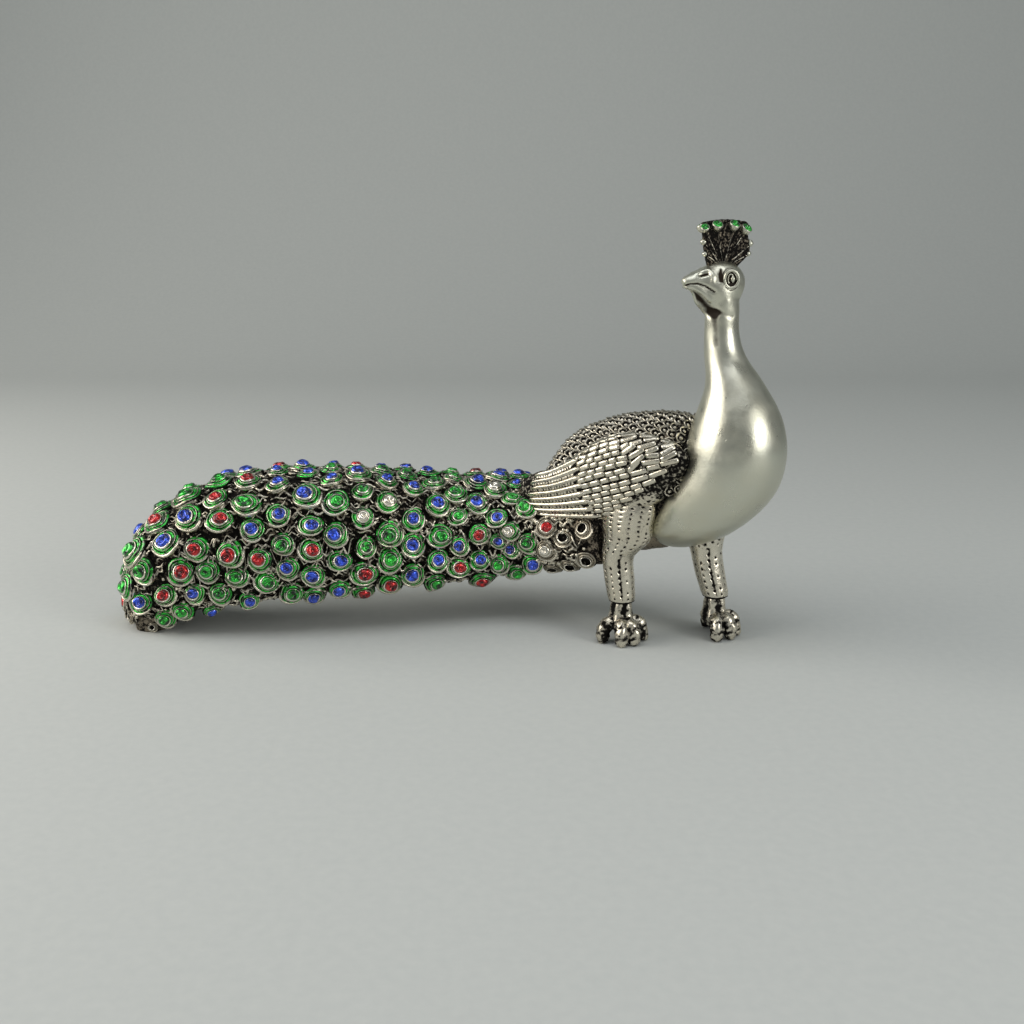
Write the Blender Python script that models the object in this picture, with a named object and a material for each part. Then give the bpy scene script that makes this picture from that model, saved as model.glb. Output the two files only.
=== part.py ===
"""Peacock figurine, cast as one piece: smooth breast and neck, feathered wings, and a long train
covered with round enamelled eyes. It stands on two clawed feet and on the tip of its train.
Units are metres, +Z is up, +X runs from the tip of the train to the breast.
"""

import functools
import math
import random

import bmesh
import bpy
from mathutils import Matrix, Vector

# Driving size. The pose and the proportions below are shares of it.
HEIGHT = 0.1038
MODEL_HEIGHT = 103.8
UNIT = HEIGHT / MODEL_HEIGHT

# Carving, in metres
EYE_PITCH = 0.0070
EYE_RISE = 0.0011
EYE_RIM = 0.0011
EYE_BOSS = 0.0006
SCALE_PITCH = 0.0046
SCALE_RISE = 0.0006
FEATHER_WIDTH = 0.0036
FEATHER_RISE = 0.0005
CREST_THICKNESS = 0.0018
CREST_BEAD_RADIUS = 0.0014
TOE_RADIUS = 0.0015
EYEBALL_RADIUS = 0.0023
SHANK_RADIUS = 0.0037

# The bird's own frame: its forward and left directions, turned from the length of the figurine
BODY_TURN = math.radians(-35.0)
HEAD_TURN = math.radians(200.0)
BIRD_PLACE = (39.6, -2.65)

# Each row of a form: centre x, y, z, plan direction in degrees, roll in degrees,
# half width, half height above the centre and half height below it.
TRAIN = (
    (27.0, 5.0, 27.0, 146, 0, 10.5, 8.0, 9.0),
    (14.0, 13.5, 26.0, 148, 0, 12.0, 10.0, 10.8),
    (0.0, 18.4, 24.8, 168, 0, 13.0, 11.2, 12.6),
    (-15.0, 17.6, 24.4, 186, 0, 13.5, 12.0, 14.0),
    (-30.0, 14.4, 25.0, 191, 0, 14.0, 13.2, 14.6),
    (-45.0, 11.2, 25.2, 190, 0, 14.2, 14.8, 15.6),
    (-60.0, 9.0, 24.2, 187, 0, 14.0, 15.5, 15.8),
    (-74.0, 8.0, 21.2, 184, 0, 13.4, 15.6, 14.8),
    (-85.0, 8.2, 15.6, 180, 0, 12.6, 13.2, 11.8),
    (-91.4, 9.9, 8.4, 180, 0, 11.4, 8.6, 7.6),
    (-93.6, 11.3, 1.0, 180, 0, 10.4, 5.0, 4.4),
    (-93.8, 11.5, -5.0, 180, 0, 10.2, 4.4, 3.4),
)

# The same rows in the bird's frame: forward, left, up, and so on.
BODY = (
    (13.0, 0, 37.0, 180, 0, 7.0, 12.0, 9.0),
    (6.0, 0, 38.0, 180, 0, 10.5, 18.0, 12.4),
    (-1.0, 0, 38.0, 180, 0, 12.0, 18.8, 14.2),
    (-8.0, 0, 37.5, 180, 0, 12.3, 18.4, 15.4),
    (-15.0, 0, 36.0, 180, 0, 12.0, 17.6, 15.2),
    (-21.0, 0, 34.0, 180, 0, 11.4, 16.4, 14.0),
    (-26.0, 0, 32.0, 180, 0, 10.6, 13.6, 12.0),
    (-31.0, 0, 30.0, 180, 0, 9.4, 9.4, 10.5),
    (-35.0, 0, 28.5, 180, 0, 8.0, 5.5, 8.5),
)
WING = (
    (9.0, 10.6, 49.6, 180, -14, 1.2, 1.4, 1.4),
    (7.0, 10.6, 48.8, 180, -14, 2.8, 4.2, 3.8),
    (2.5, 10.8, 47.0, 181, -14, 3.7, 7.6, 7.0),
    (-4.0, 11.2, 44.4, 182, -12, 4.1, 10.2, 9.6),
    (-11.0, 11.3, 41.8, 183, -10, 4.2, 9.8, 9.8),
    (-18.0, 11.2, 39.2, 184, -8, 3.9, 8.0, 8.8),
    (-25.0, 11.2, 36.8, 184, -6, 3.3, 6.6, 7.0),
    (-32.0, 11.4, 35.0, 184, -4, 2.3, 4.8, 5.0),
    (-36.4, 11.6, 34.0, 184, -2, 1.0, 2.2, 2.4),
)
# Horizontal slices of the breast and neck: up, forward, half length and half width
BREAST = (
    (24.6, 2.0, 2.0, 2.0),
    (25.6, 2.0, 5.6, 5.0),
    (28.5, 4.2, 9.8, 8.8),
    (31.5, 6.8, 11.4, 10.8),
    (34.5, 9.2, 12.3, 11.8),
    (38.0, 11.8, 12.7, 12.5),
    (42.0, 14.2, 12.6, 12.7),
    (47.0, 16.0, 12.1, 12.4),
    (52.0, 16.5, 11.8, 11.8),
    (57.0, 16.7, 10.6, 10.6),
    (61.0, 16.5, 9.1, 9.2),
    (64.5, 15.9, 7.5, 7.7),
    (68.0, 14.7, 6.2, 6.4),
    (71.5, 13.0, 5.1, 5.2),
    (75.0, 11.9, 4.4, 4.5),
    (79.0, 11.4, 4.05, 4.1),
    (84.0, 11.3, 4.0, 4.1),
    (89.0, 11.3, 3.4, 3.6),
)
# The head, along its own direction: forward, left, up and so on
HEAD = (
    (-5.8, 0, 88.0, 0, 0, 0.8, 0.8, 0.8),
    (-5.0, 0, 88.2, 0, 0, 3.2, 3.2, 4.2),
    (-2.5, 0, 88.8, 0, 0, 4.7, 5.0, 7.1),
    (0.0, 0, 89.1, 0, 0, 4.9, 5.2, 8.5),
    (2.6, 0, 89.2, 0, 0, 4.0, 4.5, 7.6),
    (4.6, 0, 89.3, 0, 0, 2.9, 3.4, 5.6),
    (6.4, 0, 89.4, 0, 0, 2.2, 2.3, 3.2),
    (8.0, 0, 89.4, 0, 0, 1.5, 1.5, 1.3),
    (9.1, 0, 89.2, 0, 0, 0.9, 0.9, 0.8),
)
HEAD_PLACE = (47.9, -8.6)
# The crest fans out from a point on the crown: each feather's angle from straight ahead, and its reach
CREST_ROOT = (-0.6, 92.6)
CREST_FEATHERS = ((48, 8.0), (61, 10.6), (79, 10.2), (103, 10.2), (123, 10.5), (144, 9.2), (163, 7.4))

# Legs: the place of each shank and foot in the bird's frame, how far the thigh bulges ahead, and the
# directions of its toes
LEGS = {
    "right": {"forward": -8.8, "left": -8.6, "lean": 0.1, "thigh": 1.9, "toes": (30, -22, -58, -120)},
    "left": {"forward": 8.6, "left": 8.4, "lean": 0.26, "thigh": 0.0, "toes": (26, -12, -56, 135)},
}
SHANK_END = 10.5

SILVER, GREEN, BLUE, RED = range(4)


def spline(rows, t):
    """Reads rows of numbers as one smooth curve, t running from 0 to 1."""
    last = len(rows) - 1
    x = min(max(t, 0.0), 1.0) * last
    i = min(int(x), last - 1)
    u = x - i
    near = [rows[min(max(k, 0), last)] for k in (i - 1, i, i + 1, i + 2)]
    return [
        0.5 * (2 * q + (r - p) * u + (2 * p - 5 * q + 4 * r - s) * u**2 + (3 * q - p - 3 * r + s) * u**3)
        for p, q, r, s in zip(*near)
    ]


def oval(half_width, above, below, angle, powers):
    """A point of the section, across and up, at an angle from its widest side."""
    c, s = math.cos(angle), math.sin(angle)
    height, power = (above, powers[0]) if s > 0 else (below, powers[1])
    return (
        half_width * math.copysign(abs(c) ** (2 / power), c),
        height * math.copysign(abs(s) ** (2 / power), s),
    )


class Form:
    """A closed form whose sections follow the rows."""

    def __init__(self, rows, powers=(2.0, 2.0), place=(0, 0), turn=0.0):
        self.rows = rows
        self.powers = powers
        self.base = Matrix.Translation((*place, 0)) @ Matrix.Rotation(turn, 4, "Z")
        self.turn = turn
        marks = [self.centre(k / 200) for k in range(201)]
        self.run = [0.0]
        for a, b in zip(marks, marks[1:]):
            self.run.append(self.run[-1] + (b - a).length)

    def centre(self, t):
        return self.base @ Vector(spline(self.rows, t)[:3])

    def at_length(self, share):
        """The curve's t at a share of its length."""
        goal = share * self.run[-1]
        k = next((i for i, r in enumerate(self.run) if r >= goal), 200)
        if k == 0:
            return 0.0
        step = self.run[k] - self.run[k - 1]
        return (k - 1 + (goal - self.run[k - 1]) / step) / 200

    def frame(self, t):
        """Centre, side and up directions of the section at t."""
        row = spline(self.rows, t)
        ahead = (self.centre(min(t + 0.004, 1)) - self.centre(max(t - 0.004, 0))).normalized()
        plan = math.radians(row[3]) + self.turn
        side = Vector((-math.sin(plan), math.cos(plan), 0))
        side = (side - side.dot(ahead) * ahead).normalized()
        up = ahead.cross(side)
        roll = Matrix.Rotation(math.radians(row[4]), 3, ahead)
        return self.centre(t), roll @ side, roll @ up, row

    def point(self, t, angle):
        centre, side, up, row = self.frame(t)
        across, high = oval(row[5], row[6], row[7], angle, self.powers)
        return centre + side * across + up * high

    def ring(self, t, count, offset, wobble):
        """Angles of evenly spaced points round the section."""
        steps = 120
        points = [self.point(t, 2 * math.pi * k / steps) for k in range(steps + 1)]
        run = [0.0]
        for a, b in zip(points, points[1:]):
            run.append(run[-1] + (b - a).length)
        angles = []
        for j in range(count):
            goal = ((j + offset + wobble()) / count % 1.0) * run[-1]
            k = next(i for i, r in enumerate(run) if r > goal)
            angles.append(2 * math.pi * (k - 1 + (goal - run[k - 1]) / (run[k] - run[k - 1])) / steps)
        return sorted(angles), run[-1]


def zip_rings(bm, first, second):
    """Triangles between two closed rings of vertices given with their angles."""
    i = j = 0
    n, m = len(first), len(second)
    while i < n or j < m:
        a, b = first[i % n][0] + 2 * math.pi * (i // n), second[j % m][0] + 2 * math.pi * (j // m)
        a_next = first[(i + 1) % n][0] + 2 * math.pi * ((i + 1) // n)
        b_next = second[(j + 1) % m][0] + 2 * math.pi * ((j + 1) // m)
        va, vb = first[i % n][1], second[j % m][1]
        if j >= m or (i < n and abs(a_next - b) <= abs(b_next - a)):
            bm.faces.new((va, first[(i + 1) % n][1], vb))
            i += 1
        else:
            bm.faces.new((va, second[(j + 1) % m][1], vb))
            j += 1


def cell_mesh(form, columns, pitch, jitter, seed):
    """A closed skin of many-sided cells, one for each carved scale, and the (t, angle) of each cell.

    The cells are the dual of a net of triangles over their centres, so they fit each other without gaps.
    """
    rng = random.Random(seed)
    net = bmesh.new()
    rings, places = [], {}
    for i, share in enumerate(columns):
        t = form.at_length(share)
        round_length = form.ring(t, 3, 0, lambda: 0)[1]
        count = max(4, round(round_length / pitch))
        angles, _ = form.ring(t, count, 0.25 + 0.5 * (i % 2), lambda: rng.uniform(-jitter, jitter))
        ring = []
        for angle in angles:
            own_t = min(max(t + rng.uniform(-jitter, jitter) * 0.4 / len(columns), 0.001), 0.999)
            vertex = net.verts.new(form.point(own_t, angle))
            places[vertex] = (own_t, angle)
            ring.append((angle, vertex))
        rings.append(ring)
    for first, second in zip(rings, rings[1:]):
        zip_rings(net, first, second)
    for t, ring in ((0.0, rings[0]), (1.0, rings[-1])):
        pole = net.verts.new(form.centre(t))
        places[pole] = (t, 0.0)
        for (_, a), (_, b) in zip(ring, ring[1:] + ring[:1]):
            net.faces.new((a, b, pole))
    bmesh.ops.recalc_face_normals(net, faces=net.faces)
    skin = bmesh.new()
    corner = {f: skin.verts.new(f.calc_center_median()) for f in net.faces}
    cells = []
    for vertex in net.verts:
        loop = next(iter(vertex.link_loops))
        around, start = [], loop
        while True:
            around.append(corner[loop.face])
            loop = loop.link_loop_prev.link_loop_radial_next
            if loop == start:
                break
        cells.append((skin.faces.new(around), places[vertex]))
    bmesh.ops.recalc_face_normals(skin, faces=skin.faces)
    net.free()
    return skin, cells


def raise_cells(skin, faces, rim, rise, boss, slots=()):
    """Turns each cell into a raised disc with a crowned middle, in its own material slot."""
    bmesh.ops.inset_individual(skin, faces=faces, thickness=rim / UNIT, depth=rise / UNIT)
    for face, slot in zip(faces, slots):
        face.material_index = slot
    bmesh.ops.poke(skin, faces=faces, offset=boss / UNIT, center_mode="MEAN")


def new_object(name, bm, collection):
    """Writes a bmesh in model units to an object in metres."""
    bmesh.ops.recalc_face_normals(bm, faces=bm.faces)
    bmesh.ops.scale(bm, vec=(UNIT,) * 3, verts=bm.verts)
    mesh = bpy.data.meshes.new(name)
    bm.to_mesh(mesh)
    bm.free()
    obj = bpy.data.objects.new(name, mesh)
    collection.objects.link(obj)
    return obj


def smooth_form(form, columns, sides):
    """A plain closed loft of a form."""
    bm = bmesh.new()
    rings = []
    for k in range(columns + 1):
        t = k / columns
        rings.append([bm.verts.new(form.point(t, 2 * math.pi * j / sides)) for j in range(sides)])
    for a, b in zip(rings, rings[1:]):
        for j in range(sides):
            bm.faces.new((a[j], a[(j + 1) % sides], b[(j + 1) % sides], b[j]))
    bm.faces.new(rings[0])
    bm.faces.new(rings[-1])
    return bm


def make_train(collection):
    form = Form(TRAIN, powers=(2.3, 3.6))
    count = round(form.run[-1] * UNIT / (EYE_PITCH * 0.87))
    columns = [(k + 0.5) / count for k in range(count)]
    skin, cells = cell_mesh(form, columns, EYE_PITCH / UNIT, 0.16, seed=7)
    shown = [face for face, (t, angle) in cells if math.sin(angle) > -0.86 and face.calc_area() > 4]
    rng = random.Random(21)
    enamel = rng.choices((GREEN, BLUE, RED, SILVER), (48, 27, 17, 8), k=len(shown))
    raise_cells(skin, shown, EYE_RIM, EYE_RISE, EYE_BOSS, enamel)
    return new_object("train", skin, collection)


def make_body(collection):
    form = Form(BODY, powers=(2.1, 2.1), place=BIRD_PLACE, turn=BODY_TURN)
    count = round(form.run[-1] * UNIT / (SCALE_PITCH * 0.95))
    columns = [(k + 0.5) / count for k in range(count)]
    skin, cells = cell_mesh(form, columns, SCALE_PITCH / UNIT, 0.03, seed=3)
    shown = [face for face, (t, angle) in cells if math.sin(angle) > 0.6 and 0.12 < t < 0.95]
    raise_cells(skin, shown, SCALE_RISE, SCALE_RISE, SCALE_RISE * 0.5)
    return new_object("body", skin, collection)


def make_wing(collection, left):
    """left is 1 for the left wing and -1 for the right one, which is its mirror image."""
    rows = [(f, left * side, z, 180 + left * (turn - 180), -left * roll, *rest) for f, side, z, turn, roll, *rest in WING]
    form = Form(rows, place=BIRD_PLACE, turn=BODY_TURN)
    columns = [0.045, 0.13, 0.22, 0.31, 0.40, 0.49, 0.585, 0.76, 0.93]
    skin, cells = cell_mesh(form, columns, FEATHER_WIDTH / UNIT, 0.04, seed=11)
    outward = (Matrix.Rotation(BODY_TURN, 3, "Z") @ Vector((0, left, 0.15))).normalized()
    skin.normal_update()
    shown = [face for face, _ in cells if face.normal.dot(outward) > 0.3]
    raise_cells(skin, shown, FEATHER_RISE, FEATHER_RISE, FEATHER_RISE * 0.5)
    return new_object("wing", skin, collection)


def make_breast(collection):
    rows = [(forward, 0, up, 0, 0, wide, long, long) for up, forward, long, wide in BREAST]
    form = Form(rows, place=BIRD_PLACE, turn=BODY_TURN)
    bm = bmesh.new()
    sides, steps, rings = 18, 25, []
    for k in range(steps + 1):
        forward, _, up, _, _, wide, long, _ = spline(rows, k / steps)
        rings.append([
            bm.verts.new(form.base @ Vector((forward + long * math.cos(a), wide * math.sin(a), up)))
            for a in (2 * math.pi * j / sides for j in range(sides))
        ])
    for a, b in zip(rings, rings[1:]):
        for j in range(sides):
            bm.faces.new((a[j], a[(j + 1) % sides], b[(j + 1) % sides], b[j]))
    bm.faces.new(rings[0])
    bm.faces.new(rings[-1])
    return new_object("breast", bm, collection)


def make_head(collection):
    form = Form(HEAD, powers=(2.1, 2.1), place=HEAD_PLACE, turn=HEAD_TURN)
    return new_object("head", smooth_form(form, 13, 12), collection)


def make_eye(collection, side):
    """A round eye that stands out of the cheek."""
    bm = bmesh.new()
    radius = EYEBALL_RADIUS / UNIT
    place = Vector((-1.6, side * 3.9, 90.0))
    look = Vector((0.25, side, 0.1)).to_track_quat("Z", "Y").to_matrix().to_4x4()
    bmesh.ops.create_cone(
        bm, cap_ends=True, segments=12, radius1=radius, radius2=radius * 0.7, depth=1.8,
        matrix=Matrix.Translation((*HEAD_PLACE, 0)) @ Matrix.Rotation(HEAD_TURN, 4, "Z")
        @ Matrix.Translation(place) @ look,
    )
    return new_object("eye", bm, collection)


def crest_point(angle, reach):
    """A point of the crest in the head's frame, at an angle from straight ahead."""
    a = math.radians(angle)
    return Vector((CREST_ROOT[0] + reach * math.cos(a), 0, CREST_ROOT[1] + reach * math.sin(a)))


def make_crest(collection):
    """A fan-shaped plate, ridged along each feather, and a bead at the end of each."""
    to_row = Matrix.Translation((*HEAD_PLACE, 0)) @ Matrix.Rotation(HEAD_TURN, 4, "Z")
    half = CREST_THICKNESS / UNIT / 2
    ridges = CREST_FEATHERS
    outline = [(ridges[0][0] - 8, ridges[0][1] * 0.5, 0.6)]
    for k, (angle, reach) in enumerate(ridges):
        outline.append((angle, reach * 0.93, 1.0))
        if k + 1 < len(ridges):
            other, far = ridges[k + 1]
            outline.append(((angle + other) / 2, (reach + far) / 2 * 0.96, 0.6))
    outline.append((ridges[-1][0] + 8, ridges[-1][1] * 0.6, 0.6))
    bm = bmesh.new()
    sheets = []
    for side in (-1, 1):
        root = bm.verts.new(crest_point(90, 0) + Vector((0, side * half, 0)))
        rim = [bm.verts.new(crest_point(a, r) + Vector((0, side * half * thick, 0))) for a, r, thick in outline]
        for one, two in zip(rim, rim[1:]):
            bm.faces.new((root, one, two) if side < 0 else (root, two, one))
        sheets.append([root] + rim)
    near, far = sheets
    for k in range(len(near)):
        n = (k + 1) % len(near)
        bm.faces.new((near[k], near[n], far[n], far[k]))
    bmesh.ops.transform(bm, matrix=to_row, verts=bm.verts)
    new_object("crest", bm, collection)
    for angle, reach in ridges:
        bead = bmesh.new()
        bmesh.ops.create_icosphere(
            bead, subdivisions=1, radius=CREST_BEAD_RADIUS / UNIT,
            matrix=to_row @ Matrix.Translation(crest_point(angle, reach * 0.92))
            @ Matrix.Rotation(math.radians(angle * 1.7), 4, "Y"),
        )
        new_object("crest_bead", bead, collection)


def make_leg(collection, leg):
    """Thigh and shank as one loft of horizontal slices."""
    shank = SHANK_RADIUS / UNIT
    foot, side = leg["forward"], math.copysign(1, leg["left"])
    out, thigh = abs(leg["left"]), leg["thigh"]
    slices = (
        (40.0, 3.4 + thigh, 0.6, 5.2 + 0.6 * thigh, 2.6),
        (35.0, 2.6 + thigh, 0.8, 7.2, 3.8),
        (31.0, 1.8 + 0.9 * thigh, 0.6, 6.9, 4.2),
        (27.0, 0.7 + 1.1 * thigh, 0.3, 5.4 + 0.5 * thigh, 4.1),
        (22.0, -0.1, 0.1, shank * 1.13, shank),
        (16.0, -0.2, 0.0, shank * 1.03, shank),
        (SHANK_END + 1.2, 0.0, 0.0, shank * 0.95, shank * 0.93),
        (SHANK_END, 0.0, 0.0, shank * 0.87, shank * 0.85),
        (SHANK_END - 0.3, 0.0, 0.0, shank * 0.68, shank * 0.66),
        (SHANK_END - 3.0, 0.0, 0.0, shank * 0.70, shank * 0.68),
        (SHANK_END - 5.0, 0.0, 0.0, shank * 0.90, shank * 0.85),
        (3.2, 0.0, 0.0, shank * 0.70, shank * 0.70),
    )
    base = Matrix.Translation((*BIRD_PLACE, 0)) @ Matrix.Rotation(BODY_TURN, 4, "Z")
    bm = bmesh.new()
    sides, rings = 10, []
    for up, forward, outward, long, wide in slices:
        forward += foot - leg["lean"] * max(up - SHANK_END, 0)
        rings.append([
            bm.verts.new(base @ Vector((forward + long * math.cos(a), side * (out + outward) + wide * math.sin(a), up)))
            for a in (2 * math.pi * j / sides for j in range(sides))
        ])
    for a, b in zip(rings, rings[1:]):
        for j in range(sides):
            bm.faces.new((a[j], a[(j + 1) % sides], b[(j + 1) % sides], b[j]))
    bm.faces.new(rings[0])
    bm.faces.new(rings[-1])
    return new_object("leg", bm, collection)


def make_toe(collection, leg, direction):
    """A curled toe: out and over the knuckle, then down to the claw on the ground."""
    r = TOE_RADIUS / UNIT
    start = Matrix.Translation((*BIRD_PLACE, 0)) @ Matrix.Rotation(BODY_TURN, 4, "Z") @ Matrix.Translation(
        (leg["forward"], leg["left"], 0)
    ) @ Matrix.Rotation(math.radians(direction), 4, "Z")
    route = (
        (0.6, 5.2, r * 0.8), (2.3, 5.6, r), (4.2, 5.1, r * 1.05),
        (5.6, 3.4, r), (5.8, 1.4, r * 0.85), (5.3, -0.8, r * 0.6),
    )
    bm = bmesh.new()
    sides, rings = 6, []
    for k, (out, up, radius) in enumerate(route):
        before, after = route[max(k - 1, 0)], route[min(k + 1, len(route) - 1)]
        ahead = Vector((after[0] - before[0], 0, after[1] - before[1])).normalized()
        across = Vector((0, 1, 0))
        high = ahead.cross(across)
        rings.append([
            bm.verts.new(
                start @ (Vector((out, 0, up)) + across * (radius * math.cos(a)) + high * (radius * math.sin(a)))
            )
            for a in (2 * math.pi * (j + 0.5) / sides for j in range(sides))
        ])
    for a, b in zip(rings, rings[1:]):
        for j in range(sides):
            bm.faces.new((a[j], a[(j + 1) % sides], b[(j + 1) % sides], b[j]))
    bm.faces.new(rings[0])
    bm.faces.new(rings[-1])
    return new_object("toe", bm, collection)


@functools.cache
def make_materials():
    """Polished silver and the three enamels."""
    values = (
        ("silver", (0.62, 0.60, 0.56, 1), 1.0, 0.32),
        ("green_enamel", (0.02, 0.22, 0.05, 1), 0.0, 0.15),
        ("blue_enamel", (0.02, 0.05, 0.55, 1), 0.0, 0.15),
        ("red_enamel", (0.40, 0.01, 0.02, 1), 0.0, 0.15),
    )
    made = []
    for name, colour, metallic, roughness in values:
        material = bpy.data.materials.new(name)
        material.use_nodes = True
        shader = material.node_tree.nodes["Principled BSDF"]
        shader.inputs["Base Color"].default_value = colour
        shader.inputs["Metallic"].default_value = metallic
        shader.inputs["Roughness"].default_value = roughness
        material.diffuse_color = colour
        made.append(material)
    return made


def joined(first, others):
    """One closed mesh: the first form and all the others together."""
    union = first.modifiers.new("union", "BOOLEAN")
    union.operation = "UNION"
    union.solver = "EXACT"
    union.operand_type = "COLLECTION"
    union.collection = others
    graph = bpy.context.evaluated_depsgraph_get()
    return bpy.data.meshes.new_from_object(first.evaluated_get(graph))


def cut_soles(bm):
    """Cuts away what lies under the ground, and closes each cut with one flat face."""
    everything = [*bm.verts, *bm.edges, *bm.faces]
    bmesh.ops.bisect_plane(bm, geom=everything, dist=1e-6, plane_co=(0, 0, 0), plane_no=(0, 0, 1), clear_inner=True)
    rims = [edge for edge in bm.edges if len(edge.link_faces) == 1]
    bmesh.ops.holes_fill(bm, edges=rims, sides=0)


def main():
    for obj in list(bpy.data.objects):
        bpy.data.objects.remove(obj)
    scene = bpy.context.scene.collection
    figurine = bpy.data.collections.new("peacock_figurine")
    forms = bpy.data.collections.new("joined_forms")
    scene.children.link(figurine)
    scene.children.link(forms)

    train = make_train(figurine)
    make_body(forms)
    make_breast(forms)
    make_head(forms)
    for side in (1, -1):
        make_wing(forms, side)
        make_eye(forms, side)
    make_crest(forms)
    for leg in LEGS.values():
        make_leg(forms, leg)
        for direction in leg["toes"]:
            make_toe(forms, leg, direction)

    for obj in [train, *forms.objects]:
        for material in make_materials():
            obj.data.materials.append(material)
    mesh = joined(train, forms)
    for obj in [train, *forms.objects]:
        bpy.data.objects.remove(obj)
    bpy.data.collections.remove(forms)

    bm = bmesh.new()
    bm.from_mesh(mesh)
    cut_soles(bm)
    bmesh.ops.remove_doubles(bm, verts=bm.verts, dist=UNIT * 0.01)
    bmesh.ops.dissolve_verts(bm, verts=[v for v in bm.verts if len(v.link_edges) == 2])
    low = Vector([min(v.co[k] for v in bm.verts) for k in range(3)])
    high = Vector([max(v.co[k] for v in bm.verts) for k in range(3)])
    middle = (low + high) / 2
    bmesh.ops.translate(bm, vec=(-middle.x, -middle.y, -low.z), verts=bm.verts)
    bmesh.ops.triangulate(bm, faces=bm.faces)
    bm.to_mesh(mesh)
    bm.free()
    mesh.name = "peacock"
    figurine.objects.link(bpy.data.objects.new("peacock", mesh))


main()
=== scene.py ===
"""Looks of the peacock figurine: cast silver with dark tarnish left in its carving, a polished
breast, and a long train covered with wire-rimmed eyes of green, blue and red enamel.

Sizes are in millimetres in the sculptor's own layout. Finished pieces are scaled to metres and
moved to the frame's origin, in the middle of the figurine's box.
"""

import math
import random

import bmesh
import bpy
import numpy as np
from mathutils import Matrix, Vector, noise


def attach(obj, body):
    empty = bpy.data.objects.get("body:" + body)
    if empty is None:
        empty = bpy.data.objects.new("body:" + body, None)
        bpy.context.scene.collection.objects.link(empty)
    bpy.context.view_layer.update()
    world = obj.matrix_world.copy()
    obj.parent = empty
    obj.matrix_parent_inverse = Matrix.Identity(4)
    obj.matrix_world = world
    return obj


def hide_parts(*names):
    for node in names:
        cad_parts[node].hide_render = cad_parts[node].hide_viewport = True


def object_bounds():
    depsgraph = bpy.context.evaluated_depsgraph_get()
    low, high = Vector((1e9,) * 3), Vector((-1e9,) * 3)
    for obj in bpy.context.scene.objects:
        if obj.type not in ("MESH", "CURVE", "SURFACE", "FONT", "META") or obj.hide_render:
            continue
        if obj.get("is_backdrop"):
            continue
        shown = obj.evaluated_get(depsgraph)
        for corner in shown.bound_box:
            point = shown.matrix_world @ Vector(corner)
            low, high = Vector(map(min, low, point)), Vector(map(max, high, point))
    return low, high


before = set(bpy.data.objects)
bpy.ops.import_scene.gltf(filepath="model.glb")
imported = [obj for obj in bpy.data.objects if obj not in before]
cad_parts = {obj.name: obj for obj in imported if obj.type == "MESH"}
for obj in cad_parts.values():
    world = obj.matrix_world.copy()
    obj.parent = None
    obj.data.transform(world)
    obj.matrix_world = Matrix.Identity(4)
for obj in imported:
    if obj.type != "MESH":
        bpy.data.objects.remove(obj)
solid_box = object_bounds()

MILLIMETRE = 0.001
LAYOUT_ORIGIN = Vector((17.5245, -4.3981, 0.0))

BODY_TURN = math.radians(-35.0)
HEAD_TURN = math.radians(200.0)
BIRD_PLACE = (39.6, -2.65)
HEAD_PLACE = (47.9, -8.6)
EYE_PITCH = 7.0
ROW_PITCH = EYE_PITCH * 0.87
# How far an eye strays from its regular place, as a share of the pitch
STRAY = 0.16

# Rows of each form: centre x, y, z, plan direction, roll, half width, height above and below the centre
TRAIN = (
    (27.0, 5.0, 27.0, 146, 0, 10.5, 8.0, 9.0),
    (14.0, 13.5, 26.0, 148, 0, 12.0, 10.0, 10.8),
    (0.0, 18.4, 24.8, 168, 0, 13.0, 11.2, 12.6),
    (-15.0, 17.6, 24.4, 186, 0, 13.5, 12.0, 14.0),
    (-30.0, 14.4, 25.0, 191, 0, 14.0, 13.2, 14.6),
    (-45.0, 11.2, 25.2, 190, 0, 14.2, 14.8, 15.6),
    (-60.0, 9.0, 24.2, 187, 0, 14.0, 15.5, 15.8),
    (-74.0, 8.0, 21.2, 184, 0, 13.4, 15.6, 14.8),
    (-85.0, 8.2, 15.6, 180, 0, 12.6, 13.2, 11.8),
    (-91.4, 9.9, 8.4, 180, 0, 11.4, 8.6, 7.6),
    (-93.6, 11.3, 1.0, 180, 0, 10.4, 5.0, 4.4),
    (-93.8, 11.5, -5.0, 180, 0, 10.2, 4.4, 3.4),
)
BODY = (
    (13.0, 0, 37.0, 180, 0, 7.0, 12.0, 9.0),
    (6.0, 0, 38.0, 180, 0, 10.5, 18.0, 12.4),
    (-1.0, 0, 38.0, 180, 0, 12.0, 18.8, 14.2),
    (-8.0, 0, 37.5, 180, 0, 12.3, 18.4, 15.4),
    (-15.0, 0, 36.0, 180, 0, 12.0, 17.6, 15.2),
    (-21.0, 0, 34.0, 180, 0, 11.4, 16.4, 14.0),
    (-26.0, 0, 32.0, 180, 0, 10.6, 13.6, 12.0),
    (-31.0, 0, 30.0, 180, 0, 9.4, 9.4, 10.5),
    (-35.0, 0, 28.5, 180, 0, 8.0, 5.5, 8.5),
)
WING = (
    (9.0, 10.6, 49.6, 180, -14, 1.2, 1.4, 1.4),
    (7.0, 10.6, 48.8, 180, -14, 2.8, 4.2, 3.8),
    (2.5, 10.8, 47.0, 181, -14, 3.7, 7.6, 7.0),
    (-4.0, 11.2, 44.4, 182, -12, 4.1, 10.2, 9.6),
    (-11.0, 11.3, 41.8, 183, -10, 4.2, 9.8, 9.8),
    (-18.0, 11.2, 39.2, 184, -8, 3.9, 8.0, 8.8),
    (-25.0, 11.2, 36.8, 184, -6, 3.3, 6.6, 7.0),
    (-31.5, 11.4, 35.2, 184, -4, 2.4, 5.8, 5.8),
    (-36.4, 11.6, 34.4, 184, -2, 1.3, 4.2, 4.4),
)
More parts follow.
